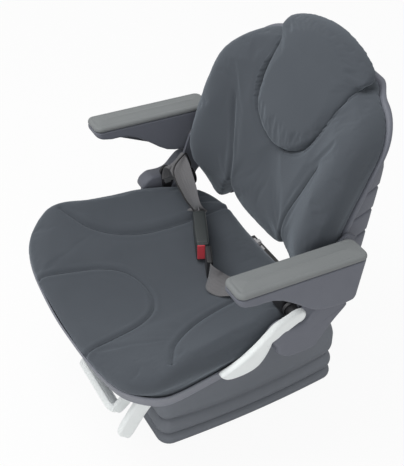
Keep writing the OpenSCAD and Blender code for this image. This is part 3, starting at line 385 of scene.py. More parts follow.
def seatCushionRings(line):
    # wall rings from the pan up to the rim, then rings that follow the surface inwards
    low = seatSizes["pan"] + 6
    rings = []
    for scale, z in ((0.06, low), (0.3, low), (0.55, low), (0.8, low), (0.9, low + 3), (0.93, low + 12),
                     (0.955, low + 26), (0.972, seatSizes["rim"])):
        ring = ringsAround(line, seatMid, [scale])[0]
        rings.append(np.column_stack([ring, np.full(len(ring), z)]))
    stops = smoothStops([(0.99, 47), (1.004, 38), (1.003, 26), (0.993, 15), (0.975, 7.5), (0.945, 2.5), (0.9, 0.3)], 16)
    for scale, drop in stops:
        ring = ringsAround(line, seatMid, [scale])[0]
        top = seatTop(ring[:, 0], ring[:, 1]) - drop
        rings.append(np.column_stack([ring, np.maximum(top, seatSizes["rim"] + 1.5)]))
    for scale in np.linspace(0.87, 0.02, 30):
        ring = ringsAround(line, seatMid, [scale])[0]
        rings.append(np.column_stack([ring, seatTop(ring[:, 0], ring[:, 1])]))
    return np.array(rings)


def distanceToLine(points, line):
    # shortest distance from each 2-D point to a polyline, and the signed side of it
    a, b = line[:-1], line[1:]
    d = b - a
    best = np.full(len(points), 1e9)
    side = np.zeros(len(points))
    for p, v in zip(a, d):  # a few dozen spans, each one whole-array step
        w = points - p
        t = np.clip((w @ v) / (v @ v), 0, 1)
        off = w - t[:, None] * v
        dist = np.hypot(off[:, 0], off[:, 1])
        near = dist < best
        best = np.where(near, dist, best)
        side = np.where(near, np.sign(v[0] * w[:, 1] - v[1] * w[:, 0]), side)
    return best, side


def readPoints(mesh):
    co = np.empty(len(mesh.vertices) * 3)
    mesh.vertices.foreach_get("co", co)
    return co.reshape(-1, 3) * 1000


def readNormals(mesh):
    no = np.empty(len(mesh.vertices) * 3)
    mesh.vertices.foreach_get("normal", no)
    return no.reshape(-1, 3)


def writePoints(mesh, points):
    mesh.vertices.foreach_set("co", (points / 1000).ravel())
    mesh.update()


def applyModifiers(obj):
    graph = bpy.context.evaluated_depsgraph_get()
    mesh = bpy.data.meshes.new_from_object(obj.evaluated_get(graph))
    obj.modifiers.clear()
    old = obj.data
    obj.data = mesh
    bpy.data.meshes.remove(old)
    mesh.polygons.foreach_set("use_smooth", np.full(len(mesh.polygons), True))


def boxUv(obj, scale=1.0):
    # each face takes the two coordinates across its own main direction, in metres
    mesh = obj.data
    co, loops = readPoints(mesh) / 1000, np.empty(len(mesh.loops), int)
    mesh.loops.foreach_get("vertex_index", loops)
    normals = np.empty(len(mesh.polygons) * 3)
    mesh.polygons.foreach_get("normal", normals)
    totals = np.empty(len(mesh.polygons), int)
    mesh.polygons.foreach_get("loop_total", totals)
    main = np.repeat(np.argmax(np.abs(normals.reshape(-1, 3)), 1), totals)
    p = co[loops]
    uv = np.where((main == 0)[:, None], p[:, [1, 2]], np.where((main == 1)[:, None], p[:, [0, 2]], p[:, [0, 1]]))
    layer = mesh.uv_layers.get("UVMap") or mesh.uv_layers.new(name="UVMap")
    layer.data.foreach_set("uv", (uv * scale).ravel())


def inflate(obj, settings, held):
    # remesh, blow up with cloth pressure while held points stay, cap the move, then one subdivision
    remesh = obj.modifiers.new("remesh", "REMESH")
    remesh.mode = "VOXEL"
    remesh.voxel_size = settings["voxel"] / 1000
    applyModifiers(obj)
    start = readPoints(obj.data)
    weights = held(start)
    group = obj.vertex_groups.new(name="held")
    for level in np.unique(np.round(weights * 10) / 10):
        if level > 0:
            chosen = np.nonzero(np.round(weights * 10) / 10 == level)[0]
            group.add(chosen.tolist(), float(level), "REPLACE")
    cloth = obj.modifiers.new("cloth", "CLOTH")
    cloth.settings.use_pressure = True
    cloth.settings.uniform_pressure_force = settings["pressure"]
    cloth.settings.effector_weights.gravity = 0
    cloth.settings.vertex_group_mass = "held"
    cloth.settings.quality = 5
    cloth.collision_settings.use_collision = False
    cloth.point_cache.frame_start = 1
    cloth.point_cache.frame_end = settings["frames"]
    scene = bpy.context.scene
    for f in range(1, settings["frames"] + 1):
        scene.frame_set(f)
    applyModifiers(obj)
    scene.frame_set(1)
    moved = readPoints(obj.data) - start
    length = np.linalg.norm(moved, axis=1)
    keep = np.minimum(1, settings["cap"] / np.maximum(length, 1e-6))
    writePoints(obj.data, start + moved * keep[:, None])
    obj.vertex_groups.clear()
    sub = obj.modifiers.new("fine", "SUBSURF")
    sub.levels = sub.render_levels = 1
    applyModifiers(obj)


def sewSeams(obj, seams, plane, width, depth, mask):
    # a V-shaped sewn channel along each seam line, sunk along the surface's normals, with a slight swell beside it
    mesh = obj.data
    co, no = readPoints(mesh), readNormals(mesh)
    near = np.min([distanceToLine(co[:, plane], line)[0] for line in seams], axis=0)
    groove = np.exp(-(near / width) ** 1.6)
    swell = np.exp(-((near - 2.6 * width) / (1.5 * width)) ** 2)
    shift = depth * (0.22 * swell - groove) * mask(co, no)
    writePoints(mesh, co + no * shift[:, None])


def seamThread(name, line, obj, toRay, body, lift, radius=0.7):
    # a thread laid on the surface along a line: one tube through points placed by ray casts
    tree = BVHTree.FromObject(obj, bpy.context.evaluated_depsgraph_get())
    path = splineThrough(line, max(8, int(len(line) * 6)), closed=False)
    hits = []
    for p in path:  # one ray for each point of the seam
        origin, direction = toRay(p)
        hit = tree.ray_cast(Vector(origin) / 1000, Vector(direction))
        if hit[0] is not None:
            hits.append(np.array(hit[0]) * 1000 + np.array(hit[1]) * lift)
    if len(hits) < 4:
        return None
    hits = np.array(hits)
    side = np.cross(np.gradient(hits, axis=0), (0.013, 0.021, 1.0))
    return sweep(name, hits, side, circle(radius, 6), body, "thread")


print("tools ready")

# Seat cushion

seatLine = counterClockwise(splineThrough(mirrored(seatHalf), 168))
seatSeams = {"bolster": [(252, -226), (238, -219), (222, -208), (200, -194), (178, -170), (158, -138), (143, -100),
                         (134, -55), (129, 0), (127, 60), (126, 112)],
             "panel": [(-122, -352), (-116, -326), (-104, -262), (-90, -208), (-66, -172), (-34, -155), (0, -150),
                       (34, -155), (66, -172), (90, -208), (104, -262), (116, -326), (122, -352)]}
cushionCloth = {"voxel": 5.0, "pressure": 4.0, "frames": 20, "cap": 5.0}

seatCushion = loft("seat_cushion_cover", seatCushionRings(seatLine), None, "seat_fabric")
bolsterLine = splineThrough(seatSeams["bolster"], 60, closed=False)
panelLine = splineThrough(seatSeams["panel"], 80, closed=False)
allSeatSeams = [bolsterLine, bolsterLine * [-1, 1], panelLine]


def seatHeld(co):
    # seams and everything below the rim stay put
    near = np.min([distanceToLine(co[:, :2], s)[0] for s in allSeatSeams], axis=0)
    seam = np.where(co[:, 2] > 280, 1 - smoothStep((near - 3) / 10), 0)
    return np.clip(np.maximum(seam, 1 - smoothStep((co[:, 2] - 288) / 14)), 0, 1)


inflate(seatCushion, cushionCloth, seatHeld)


def seatMask(co, no):
    return smoothStep((no[:, 2] - 0.05) / 0.3) * smoothStep((co[:, 2] - 282) / 8)


sewSeams(seatCushion, allSeatSeams, [0, 1], 3.6, 4.2, seatMask)
# the panels beside a bolster seam stand a little proud of the middle
co = readPoints(seatCushion.data)
for line in (bolsterLine, bolsterLine * [-1, 1]):
    dist, side = distanceToLine(co[:, :2], line)
    outer = np.abs(co[:, 0]) > np.interp(co[:, 1], line[:, 1], np.abs(line[:, 0]))
    lift = 2.2 * np.exp(-((dist - 10) / 9) ** 2) * outer * (co[:, 2] > 284) * (np.sign(co[:, 0]) == np.sign(line[0, 0]))
    co[:, 2] += lift * (1 - smoothStep((np.abs(co[:, 0]) - 215) / 25))
writePoints(seatCushion.data, co)
boxUv(seatCushion)
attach(seatCushion, "seat")
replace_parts(seatCushion, "seat_cushion")


def downRay(p):
    return (p[0], p[1], 460.0), (0, 0, -1)


for tag, line in (("left", bolsterLine), ("right", bolsterLine * [-1, 1]), ("panel", panelLine)):
    inside = line[(line[:, 1] > -338) & (line[:, 1] < 108)]
    seamThread("seat_seam_" + tag, inside[::4], seatCushion, downRay, "seat", 0.1, 0.8)
print("seat cushion made")

# Seat pan: an open tray with a rolled rim that shows as a light strip under the cushion

panStops = [(0.84, 246.0), (0.9, 247.0), (0.935, 250.0), (0.95, 255.0), (0.96, 263.0), (0.985, 279.0), (0.9965, 286.0),
            (1.001, 289.0), (1.0, 291.0), (0.993, 291.6), (0.984, 290.0), (0.975, 284.0), (0.948, 262.0), (0.93, 254.0),
            (0.9, 251.0), (0.84, 250.0)]


def panRings(line):
    fine = splineThrough(panStops, 60, closed=False)
    return np.array([np.column_stack([ringsAround(line, seatMid, [s])[0], np.full(len(line), z)]) for s, z in fine])


seatPan = loft("seat_pan_tray", panRings(seatLine), "seat", "pan_plastic")
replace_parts(seatPan, "seat_pan")
print("seat pan made")

# Backrest surfaces, the same formulas as the part's source

backSizes = {"bolster": 36.0, "headAngle": 24.0}
backHalf = [(0, 345), (56, 350), (86, 366), (98, 400), (118, 384), (150, 330), (172, 312), (200, 318),
            (216, 360), (222, 420), (232, 480), (235, 540), (234, 600), (228, 636), (212, 662), (186, 682),
            (150, 694), (100, 699), (0, 702)]
backMid = np.array([0.0, 596.0])
headHalf = [(0, 536), (30, 540), (58, 552), (82, 572), (99, 598), (109, 628), (114, 662), (117, 686),
            (124, 700), (135, 709), (135, 719), (126, 730), (95, 743), (55, 753), (0, 758)]
headMid = np.array([0.0, 650.0])


def backLine(z):
    return np.where(z < 400, 97 + 0.08 * (400 - z), 103 + 0.30 * (z - 420) + 2.0e-6 * (z - 420) ** 3)


def backFront(x, z):
    ax = np.abs(x)
    dish = 18 * (np.minimum(ax, 110) / 110) ** 2
    rise = backSizes["bolster"] * smoothStep((ax - 108) / 100) * (1 - 0.55 * smoothStep((z - 640) / 60))
    return backLine(z) - (dish + rise) * smoothStep((z - 320) / 140)


def backRim(x, z):
    t = np.maximum(0, z - 478)
    middle = 1 - smoothStep((np.abs(x) - 110) / 60)
    return 134 + 0.32 * t + 0.0009 * t * t + 26 * smoothStep((z - 590) / 110) * middle


def shellRear(x, z, scale):
    # the shell stands 48 mm behind its rim, less toward its edge and its foot
    depth = np.interp(scale, [0.64, 0.73, 0.82], [48.0, 42.0, 28.0])
    return backRim(x, z) + depth * (0.4 + 0.6 * smoothStep((z - 400) / 90))


def headPlane(z):
    return 172 + (z - 540) * math.tan(math.radians(backSizes["headAngle"]))


backLineOutline = counterClockwise(splineThrough(mirrored(backHalf), 200))
headOutline = counterClockwise(splineThrough(mirrored(headHalf), 140))


def insideOutline(points, line):
    # even-odd test of 2-D points against a closed outline, one whole-array step for each side
    inside = np.zeros(len(points), bool)
    for p, q in zip(line, np.roll(line, -1, 0)):
        crosses = (p[1] > points[:, 1]) != (q[1] > points[:, 1])
        with np.errstate(divide="ignore", invalid="ignore"):
            at = (q[0] - p[0]) * (points[:, 1] - p[1]) / (q[1] - p[1]) + p[0]
        inside ^= crosses & (points[:, 0] < at)
    return inside


def backCushionRings(line):
    rings = []
    for scale in (0.1, 0.3, 0.5, 0.64, 0.73, 0.79):
        ring = ringsAround(line, backMid, [scale])[0]
        rings.append(np.column_stack([ring[:, 0], shellRear(ring[:, 0], ring[:, 1], scale) - 9, ring[:, 1]]))
    ring = ringsAround(line, backMid, [0.8])[0]
    rings.append(np.column_stack([ring[:, 0], backRim(ring[:, 0], ring[:, 1]) + 1, ring[:, 1]]))
    stops = smoothStops([(0.985, 0.0), (1.0, 0.06), (1.003, 0.3), (1.0, 0.6), (0.988, 0.82), (0.968, 0.94),
                         (0.935, 0.995), (0.89, 1.0)], 22)
    for scale, depth in stops:
        ring = ringsAround(line, backMid, [scale])[0]
        face = ringsAround(line, backMid, [min(scale, 0.97)])[0]
        rear, front = backRim(ring[:, 0], ring[:, 1]), backFront(face[:, 0], face[:, 1])
        rings.append(np.column_stack([ring[:, 0], rear + (front - rear) * depth, ring[:, 1]]))
    for scale in np.linspace(0.86, 0.02, 34):
        ring = ringsAround(line, backMid, [scale])[0]
        rings.append(np.column_stack([ring[:, 0], backFront(ring[:, 0], ring[:, 1]), ring[:, 1]]))
    return np.array(rings)


backSeams = {"bolster": [(98, 400), (98, 420), (100, 440), (104, 460), (111, 480), (120, 504), (130, 532),
                         (140, 560), (149, 582)]}

backCushion = loft("back_cushion_cover", backCushionRings(backLineOutline), None, "seat_fabric")


def cutPocket(obj):
    # points inside the head extension's outline and in front of its plane sink back to the plane
    co = readPoints(obj.data)
    grown = headOutline + outwardNormals(headOutline) * 3.5
    dist, _ = distanceToLine(co[:, [0, 2]], np.vstack([grown, grown[:1]]))
    inside = insideOutline(co[:, [0, 2]], grown) | ((np.abs(co[:, 0]) < 120) & (co[:, 2] > 685))
    depth = smoothStep(dist / 8.0) * inside
    target = headPlane(co[:, 2]) + 1
    front = co[:, 1] < target
    co[:, 1] = np.where(front & inside, co[:, 1] + (target - co[:, 1]) * depth, co[:, 1])
    return co, dist, inside


def backHeld(co):
    near = np.min([distanceToLine(co[:, [0, 2]], s)[0] for s in allBackSeams], axis=0)
    seam = 1 - smoothStep((near - 3) / 10)
    rear = 1 - smoothStep((backRim(co[:, 0], co[:, 2]) - 4 - co[:, 1]) / 14)
    return np.clip(np.maximum(seam, rear), 0, 1)


bolsterBack = splineThrough(backSeams["bolster"], 50, closed=False)
allBackSeams = [bolsterBack, bolsterBack * [-1, 1]]
inflate(backCushion, cushionCloth, backHeld)


def backMask(co, no):
    top = 1 - smoothStep((co[:, 2] - 555) / 40)
    return smoothStep((-no[:, 1] - 0.1) / 0.3) * top


sewSeams(backCushion, allBackSeams, [0, 2], 3.4, 4.5, backMask)
co, pocketDist, inPocket = cutPocket(backCushion)
writePoints(backCushion.data, co)
# a soft crease where the cover turns in beside the head extension
co, no = readPoints(backCushion.data), readNormals(backCushion.data)
around = np.exp(-(pocketDist / 6.0) ** 2) * (~inPocket) * (no[:, 1] < -0.2)
writePoints(backCushion.data, co + no * (-2.5 * around)[:, None])
boxUv(backCushion)
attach(backCushion, "backrest")
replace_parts(backCushion, "back_cushion")


def rearRay(p):
    return (p[0], -100.0, p[1]), (0, 1, 0)


for tag, sign in (("left", 1), ("right", -1)):
    seamThread("back_seam_" + tag, (bolsterBack * [sign, 1])[::4], backCushion, rearRay, "backrest", 0.1, 0.8)
print("back cushion made")

# Head extension


def headRings(line):
    rings = []
    for scale in (0.05, 0.3, 0.6, 0.85):
        ring = ringsAround(line, headMid, [scale])[0]
        rings.append(np.column_stack([ring[:, 0], headPlane(ring[:, 1]) - 1, ring[:, 1]]))
    stops = smoothStops([(0.965, 0.0), (0.995, 0.07), (1.002, 0.28), (1.0, 0.55), (0.988, 0.78), (0.962, 0.92),
                         (0.915, 0.99), (0.85, 1.0)], 20)

    def front(x, z):
        crown = 8 * (1 - (x / 130) ** 2)
        low = backLine(z) - 17 - crown * smoothStep((z - 536) / 60)
        high = backLine(np.array(700.0)) - 17 + 0.5 * (z - 700) - crown
        return np.where(z < 700, low, high)

    for scale, depth in stops:
        ring = ringsAround(line, headMid, [scale])[0]
        face = ringsAround(line, headMid, [min(scale, 0.95)])[0]
        rear = headPlane(ring[:, 1]) - 1
        rings.append(np.column_stack([ring[:, 0], rear + (front(face[:, 0], face[:, 1]) - rear) * depth, ring[:, 1]]))
    for scale in np.linspace(0.8, 0.02, 22):
        ring = ringsAround(line, headMid, [scale])[0]
        rings.append(np.column_stack([ring[:, 0], front(ring[:, 0], ring[:, 1]), ring[:, 1]]))
    return np.array(rings)


headPad = loft("head_pad_cover", headRings(headOutline), None, "seat_fabric")


def headHeld(co):
    return 1 - smoothStep((headPlane(co[:, 2]) - 4 - co[:, 1]) / 12)


inflate(headPad, {"voxel": 4.0, "pressure": 4.0, "frames": 20, "cap": 3.0}, headHeld)
boxUv(headPad)
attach(headPad, "head_extension")
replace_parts(headPad, "head_pad")
print("head extension made")

# Back shell: a moulded rear shell whose rim shows as a light line behind the cushion


def shellRings(line):
    rings = []

    def rear(scale, off):
        ring = ringsAround(line, backMid, [scale])[0]
        rings.append(np.column_stack([ring[:, 0], shellRear(ring[:, 0], ring[:, 1], scale) - off, ring[:, 1]]))

    def rim(scale, off):
        ring = ringsAround(line, backMid, [scale])[0]
        rings.append(np.column_stack([ring[:, 0], backRim(ring[:, 0], ring[:, 1]) + off, ring[:, 1]]))

    for scale in np.linspace(0.04, 0.82, 24):
        rear(scale, 0)
    for scale, off in ((0.85, 19), (0.875, 15), (0.9, 13.2), (0.94, 12.4), (0.98, 12.1), (1.0, 11.4), (1.009, 9.4),
                       (1.0135, 6.5), (1.012, 3), (1.006, 1.4), (0.99, 0.6), (0.9, 0.6), (0.83, 0.6)):
        rim(scale, off)
    for scale in np.linspace(0.81, 0.04, 18):
        rear(scale, 5)
    return np.array(rings)


backShell = loft("back_shell_moulding", shellRings(backLineOutline), "backrest", "grey_plastic")
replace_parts(backShell, "back_shell")
backShell.data.materials.clear()
backShell.data.materials.append(finishes["grey_plastic"])


def rearCoverRings():
    # horizontal rings from the foot up: three ribs with grooves between them, then a plain part to the top
    levels = [(394, 3.0)]
    for k in range(3):
        low = 394.6 + 48.5 * k
        levels += [(low, 2.2), (low + 1.2, 0.7), (low + 2.8, 0.1), (low + 15, 0), (low + 28, 0), (low + 40, 0.2),
                   (low + 42.4, 1.1), (low + 43.6, 3.0), (low + 44.4, 4.6), (low + 46.8, 4.6)]
    levels += [(540.7, 2.0), (542, 0.6), (545, 0), (560, 0.2), (575, 0.8), (586, 2.4), (592, 4.6), (594, 7)]
    rings = []
    for z, out in levels:
        far, side = 211 + 0.165 * (z - 404) - out, 206 - out
        near = np.array([[152, 50.5], [172, 44.5], [193, 30.5], [212 - out, 17], [222.5 - out, 14.5],
                         [224 - out, 16.5]])
        near[:, 1] += backRim(near[:, 0], z)
        half = np.vstack([near, [[side + 1.6, far - 10], [side - 0.2, far - 6], [side - 3.5, far - 2.6],
                                 [side - 9, far - 0.9], [side - 46, far]]])
        middle = [[0, backRim(0.0, z) + 50.5]]
        ring = np.vstack([middle, half, [[0, far + 3]], half[::-1] * [-1, 1]])
        rings.append(np.column_stack([ring, np.full(len(ring), z)]))
    return np.array(rings)


rearCover = loft("rear_cover_ribbed", rearCoverRings(), "backrest", "grey_plastic")
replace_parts(rearCover, "rear_cover")
print("back shell made")

# Bellows: three folds, the creases sagging in the middle of the long sides

bellowsSizes = {"width": 331.0, "length": 417.0, "radius": 26.0, "belly": 8.0, "top": 173.7, "wall": 3.5}
bellowsFolds = [(2.0, 31.5), (31.5, 73.0), (73.0, 173.7)]


def bellowsOffset(z):
    off = np.full_like(z, -16.0)
    for low, high in bellowsFolds[:2]:
        s = np.clip((z - low) / (high - low), 0, 1)
        off = np.where((z >= low) & (z <= high), -16 + 17 * np.sin(math.pi * s) ** 0.48, off)
    s = np.clip((z - 73.0) / 100.7, 0, 1)
    skirt = -16 + 17 * np.sin(math.pi * np.minimum(s * 1.6, 0.5)) ** 0.5
    close = 11 * smoothStep((s - 0.5) / 0.5)
    return np.where(z > 73.0, skirt - close, off)


def bellowsRings():
    b = bellowsSizes
    q = np.linspace(0, math.pi / 2, 9)
    zs = np.concatenate([np.linspace(2, 31.5, 22), np.linspace(32.2, 73, 26), np.linspace(74, b["top"], 44)])
    off = bellowsOffset(zs)

    def ring(z, o):
        hx, hy, r = b["width"] / 2 + o, b["length"] / 2 + o, b["radius"] + o
        arc = np.column_stack([hx - r + r * np.cos(q), hy - r + r * np.sin(q)])
        side = np.column_stack([np.full(28, hx), np.linspace(-(hy - r), hy - r, 30)[1:-1]])
        top = np.column_stack([np.linspace(hx - r, -(hx - r), 24)[1:-1], np.full(22, hy)])
        line = np.vstack([side, arc, top, arc[::-1] * [-1, 1], -side, -arc, -top, arc[::-1] * [1, -1]])
        bulge = b["belly"] * np.maximum(0, 1 - (2 * line[:, 1] / b["length"]) ** 2) * smoothStep((70 - z) / 60)
        line = line + np.column_stack([np.sign(line[:, 0]) * bulge, np.zeros(len(line))])
        onSide = smoothStep((np.abs(line[:, 0]) - 120) / 30)
        sag = 20 * np.maximum(0, 1 - (line[:, 1] / 185) ** 2) * onSide * math.exp(-((z - 70) / 34) ** 2)
        return np.column_stack([line, z - sag])

    thin = np.min([np.interp(zs + d, zs, off) for d in (-4, -2, 0, 2, 4)], axis=0) - b["wall"]
    outer = [ring(z, o) for z, o in zip(zs, off)]
    inner = [ring(z, o) for z, o in zip(zs[::-1], thin[::-1])]
    return np.array(outer + inner)


rings = bellowsRings()
faces = gridFaces(len(rings) + 1, rings.shape[1]) % (len(rings) * rings.shape[1])  # the last row meets the first
bellows = makeObject("bellows_skin", rings.reshape(-1, 3), list(faces), None, "bellows_rubber")
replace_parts(bellows, "bellows")
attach(bellows, "base")
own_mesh(bellows)

springSizes = {"x": 57.5, "y": -60.0, "radius": 21.0, "wire": 6.0, "turns": 7}
for tag, sign in (("left", 1), ("right", -1)):
    s = springSizes
    t = np.linspace(0, 1, s["turns"] * 26)
    turn = 2 * math.pi * s["turns"] * t
    lift = t + (smoothStep(t) - t) * 0.6
    z0, h = 3 + s["wire"] / 2 + 0.3, bellowsSizes["top"] - s["wire"] - 3.6
    path = np.column_stack([sign * s["x"] + s["radius"] * np.cos(turn), s["y"] + s["radius"] * np.sin(turn),
                            z0 + h * lift])
    side = np.column_stack([np.cos(turn), np.sin(turn), np.zeros(len(t))])
    coil = sweep("suspension_spring_" + tag, path, side, circle(s["wire"] / 2, 10), "base", "black_steel")
    if tag == "left":
        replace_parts(coil, "suspension_springs")
    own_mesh(coil)
print("bellows made")

# Armrests: a soft pad over a deep moulded body with a dark joint between them

armSizes = {"inner": 256.0, "width": 58.0, "length": 266.0, "tilt": 3.2, "frontY": -130.0, "frontZ": 507.0, "pad": 11.0}
armLow = [(-134, 487), (-129, 484), (-122, 480), (-100, 473), (-66, 470), (-40, 459), (-13, 439), (22, 411), (48, 400),
          (88, 395), (112, 394), (126, 397), (142, 404)]


def armSeatZ(y):
    a = armSizes
    return a["frontZ"] - a["pad"] - (y - a["frontY"]) * math.tan(math.radians(a["tilt"]))


def armOutline():
    # seen from above: a rectangle with round corners, from the inner front corner
    a = armSizes
    r, w, l = 15.0, a["width"], a["length"]
    q = np.linspace(0, math.pi / 2, 9)
    arc = np.column_stack([r * np.cos(q), r * np.sin(q)])
    corners = np.vstack([arc + [w - r, l - r], (arc[::-1] * [-1, 1]) + [r, l - r], -arc + [r, r],
                         (arc[::-1] * [1, -1]) + [w - r, r]])
    t = np.linspace(0, 1, 14)[1:-1, None]
    line = np.vstack([np.vstack([corners[9 * k:9 * k + 9],
                                 corners[9 * k + 8] * (1 - t) + corners[(9 * k + 9) % 36] * t]) for k in range(4)])
    return line


def armPad(tag, sign):
    a = armSizes
    tilt = math.radians(a["tilt"])

    def place(u, v, w):
        y = a["frontY"] + v * math.cos(tilt) + w * math.sin(tilt)
        z = armSeatZ(a["frontY"]) + 0.3 - v * math.sin(tilt) + w * math.cos(tilt)
        return sign * (a["inner"] + u), y, z

    line = armOutline()
    n = outwardNormals(line)
    stops = [(5, 0.0), (2.6, 0.1), (1.8, 0.8), (0.6, 1.8), (0.0, 3.2), (0.1, 5), (0.6, 7.2), (2.2, 9.4), (4.8, 10.7),
             (7.4, 11.1), (8.6, 10.6), (9.8, 10.8), (12, 11.4)]
    rings = [np.column_stack([line - n * i, np.full(len(line), h)]) for i, h in stops]
    mid = rings[-1].mean(0)
    for f in (0.8, 0.5, 0.2, 0.04):
        ring = mid + (rings[-1] - mid) * [f, 1 - (1 - f) * 0.12, 1]
        ring[:, 2] = rings[-1][:, 2] + 0.9 * (1 - f * f)
        rings.append(ring)
    rings = np.array(rings)
    pts = np.stack(place(rings[..., 0], rings[..., 1], rings[..., 2]), -1)
    pad = loft("armrest_pad_" + tag, pts, tag + "_armrest", "armrest_foam", flip=sign < 0)
    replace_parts(pad, tag + "_armrest_pad")


def armBody(tag, sign):
    # the pad's outline carried down to the lower line; the rear end leans forward toward its foot
    a = armSizes
    low = splineThrough(armLow, 200, closed=False)
    line = armOutline()
    n = outwardNormals(line)

    def ring(inset, down, up, narrow=1.0):
        flat = line - n * inset
        y = a["frontY"] + flat[:, 1] * math.cos(math.radians(a["tilt"]))
        high, foot = armSeatZ(y) - 0.3, np.interp(y, low[:, 0], low[:, 1])
        z = high - down if up is None else foot + up
        y = y - 0.17 * (high - z) * smoothStep((flat[:, 1] / a["length"] - 0.7) / 0.3)
        u = a["width"] / 2 + (flat[:, 0] - a["width"] / 2) * narrow
        return np.column_stack([sign * (a["inner"] + u), y, z])

    rings = [ring(3.4, 0.0, None), ring(1.6, 0.3, None), ring(0.6, 1.1, None), ring(0.3, 2.4, None)]
    rings += [rings[3] * (1 - f) + ring(0.3, 0, 5.5) * f for f in np.linspace(0.05, 1, 14)]
    rings += [ring(0.9, 0, 3.0), ring(2.2, 0, 1.2), ring(4.2, 0, 0.2), ring(6.0, 0, 0)]
    rings += [ring(6.0, 0, 0, f) for f in (0.8, 0.55, 0.3, 0.06)]
    body = loft("armrest_body_" + tag, np.array(rings), tag + "_armrest", "grey_plastic", flip=sign > 0)
    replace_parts(body, tag + "_armrest_body")


for tag, sign in (("left", 1), ("right", -1)):
    armPad(tag, sign)
    armBody(tag, sign)
print("armrests made")

# Hip covers, recline lever and slide lever grip

coverLine = [(-26, 300), (-28, 314), (-33, 322), (-35, 330), (-30, 341), (-21, 348), (-11, 352), (2, 351), (16, 350),
             (30, 353), (40, 361), (50, 371), (64, 381), (84, 382), (104, 374), (118, 363), (121, 354), (100, 332),
             (79, 308), (68, 293), (55, 279), (28, 276), (2, 278), (-14, 286)]
for tag, sign in (("left", 1), ("right", -1)):
    def placeCover(u, v, w, sign=sign):
        return sign * w, u, v

    cover = roundedPlate("hip_cover_moulding_" + tag, coverLine, 250.8, 285.8, 7.0, placeCover, "seat", "grey_plastic",
                         count=200, dome=1.0)
    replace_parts(cover, tag + "_hip_cover")

reclineLine = [(-142, 297), (-134, 284), (-120, 278), (-98, 276.5), (-79, 279), (-65, 285), (-54, 296), (-45, 310),
               (-38, 326), (-32, 341), (-24, 351), (-14, 356), (0, 355), (14, 354.5), (27, 358), (33, 369), (28, 380),
               (14, 381.5), (-3, 376), (-30, 366.5), (-48, 352), (-64, 338), (-82, 325), (-98, 315), (-120, 305)]


def placeSide(u, v, w):
    return w, u, v


reclineLever = roundedPlate("recline_lever_grip", reclineLine, 269.0, 284.0, 5.5, placeSide, "recline_release",
                            "light_plastic", count=220, dome=0.8)
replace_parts(reclineLever, "recline_lever")
# painted shade: the hub takes the black finish to stand for the dark shade in the gap between the hip cover and the
# lever, not for its own colour
loft("recline_lever_hub", np.array([np.column_stack([np.full(40, x), 18 + circle(r, 40)[:, 0],
                362 + circle(r, 40)[:, 1]]) for x, r in ((250.9, 9), (251.5, 11), (266, 11), (269, 12))]),
                "recline_release", "black_plastic")

gripLine = [(-222, 222), (-250, 224), (-276, 196), (-309, 143), (-300, 124), (-285, 120), (-250, 170), (-220, 203)]
slideGrip = roundedPlate("slide_lever_handle", gripLine, 179.2, 192.8, 4.5, placeSide, "slide_release", "light_plastic",
                         count=140, dome=0.6)
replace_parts(slideGrip, "slide_lever_grip")
print("levers made")

# Belt: strap on the right hip, standing buckle, tongue and webbing to the reel

buckle = {"at": (-54.0, 0.0, 325.5), "turn": -24.0, "tip": 6.0, "l": 98.0, "h": 50.0, "t": 26.0, "webY": 9.0}


def inBuckle(p):
    # buckle coordinates to the seat's: tipped about Y, then turned about Z
    p = np.asarray(p, float)
    a, b = math.radians(buckle["tip"]), math.radians(buckle["turn"])
    x = p[..., 0] * math.cos(a) + p[..., 2] * math.sin(a)
    z = -p[..., 0] * math.sin(a) + p[..., 2] * math.cos(a)
    return np.stack([x * math.cos(b) - p[..., 1] * math.sin(b), x * math.sin(b) + p[..., 1] * math.cos(b), z], -1) \
        + np.array(buckle["at"])


def roundedBox(name, low, high, radius, body, slotName, crown=0.0, place=inBuckle):
    # a box with rounded long edges and rims, long along x
    low, high = np.asarray(low, float), np.asarray(high, float)
    q = np.linspace(0, math.pi / 2, 7)
    arc = np.column_stack([np.cos(q), np.sin(q)])
    hy, hz = (high[1] - low[1]) / 2, (high[2] - low[2]) / 2
    mid = (low + high) / 2

    def ring(inset):
        r = max(radius - inset, 0.3)
        a = arc * r
        hy2, hz2 = hy - inset, hz - inset
        return np.vstack([a + [hy2 - r, hz2 - r], (a[::-1] * [-1, 1]) + [-(hy2 - r), hz2 - r],
                          -a - [hy2 - r, hz2 - r], (a[::-1] * [1, -1]) + [hy2 - r, -(hz2 - r)]])

    levels = [(radius * (1 - math.sin(t)), low[0] + radius * (1 - math.cos(t))) for t in q]
    levels += [(crown * -math.sin(math.pi * s), low[0] + radius + s * (high[0] - low[0] - 2 * radius))
               for s in np.linspace(0.1, 0.9, 7)]
    levels += [(radius * (1 - math.cos(t)), high[0] - radius * (1 - math.sin(t))) for t in q]
    rings = []
    for inset, x in levels:
        yz = ring(inset)
        rings.append(np.column_stack([np.full(len(yz), x), yz[:, 0] + mid[1], yz[:, 1] + mid[2]]))
    return loft(name, place(np.array(rings)), body, slotName)


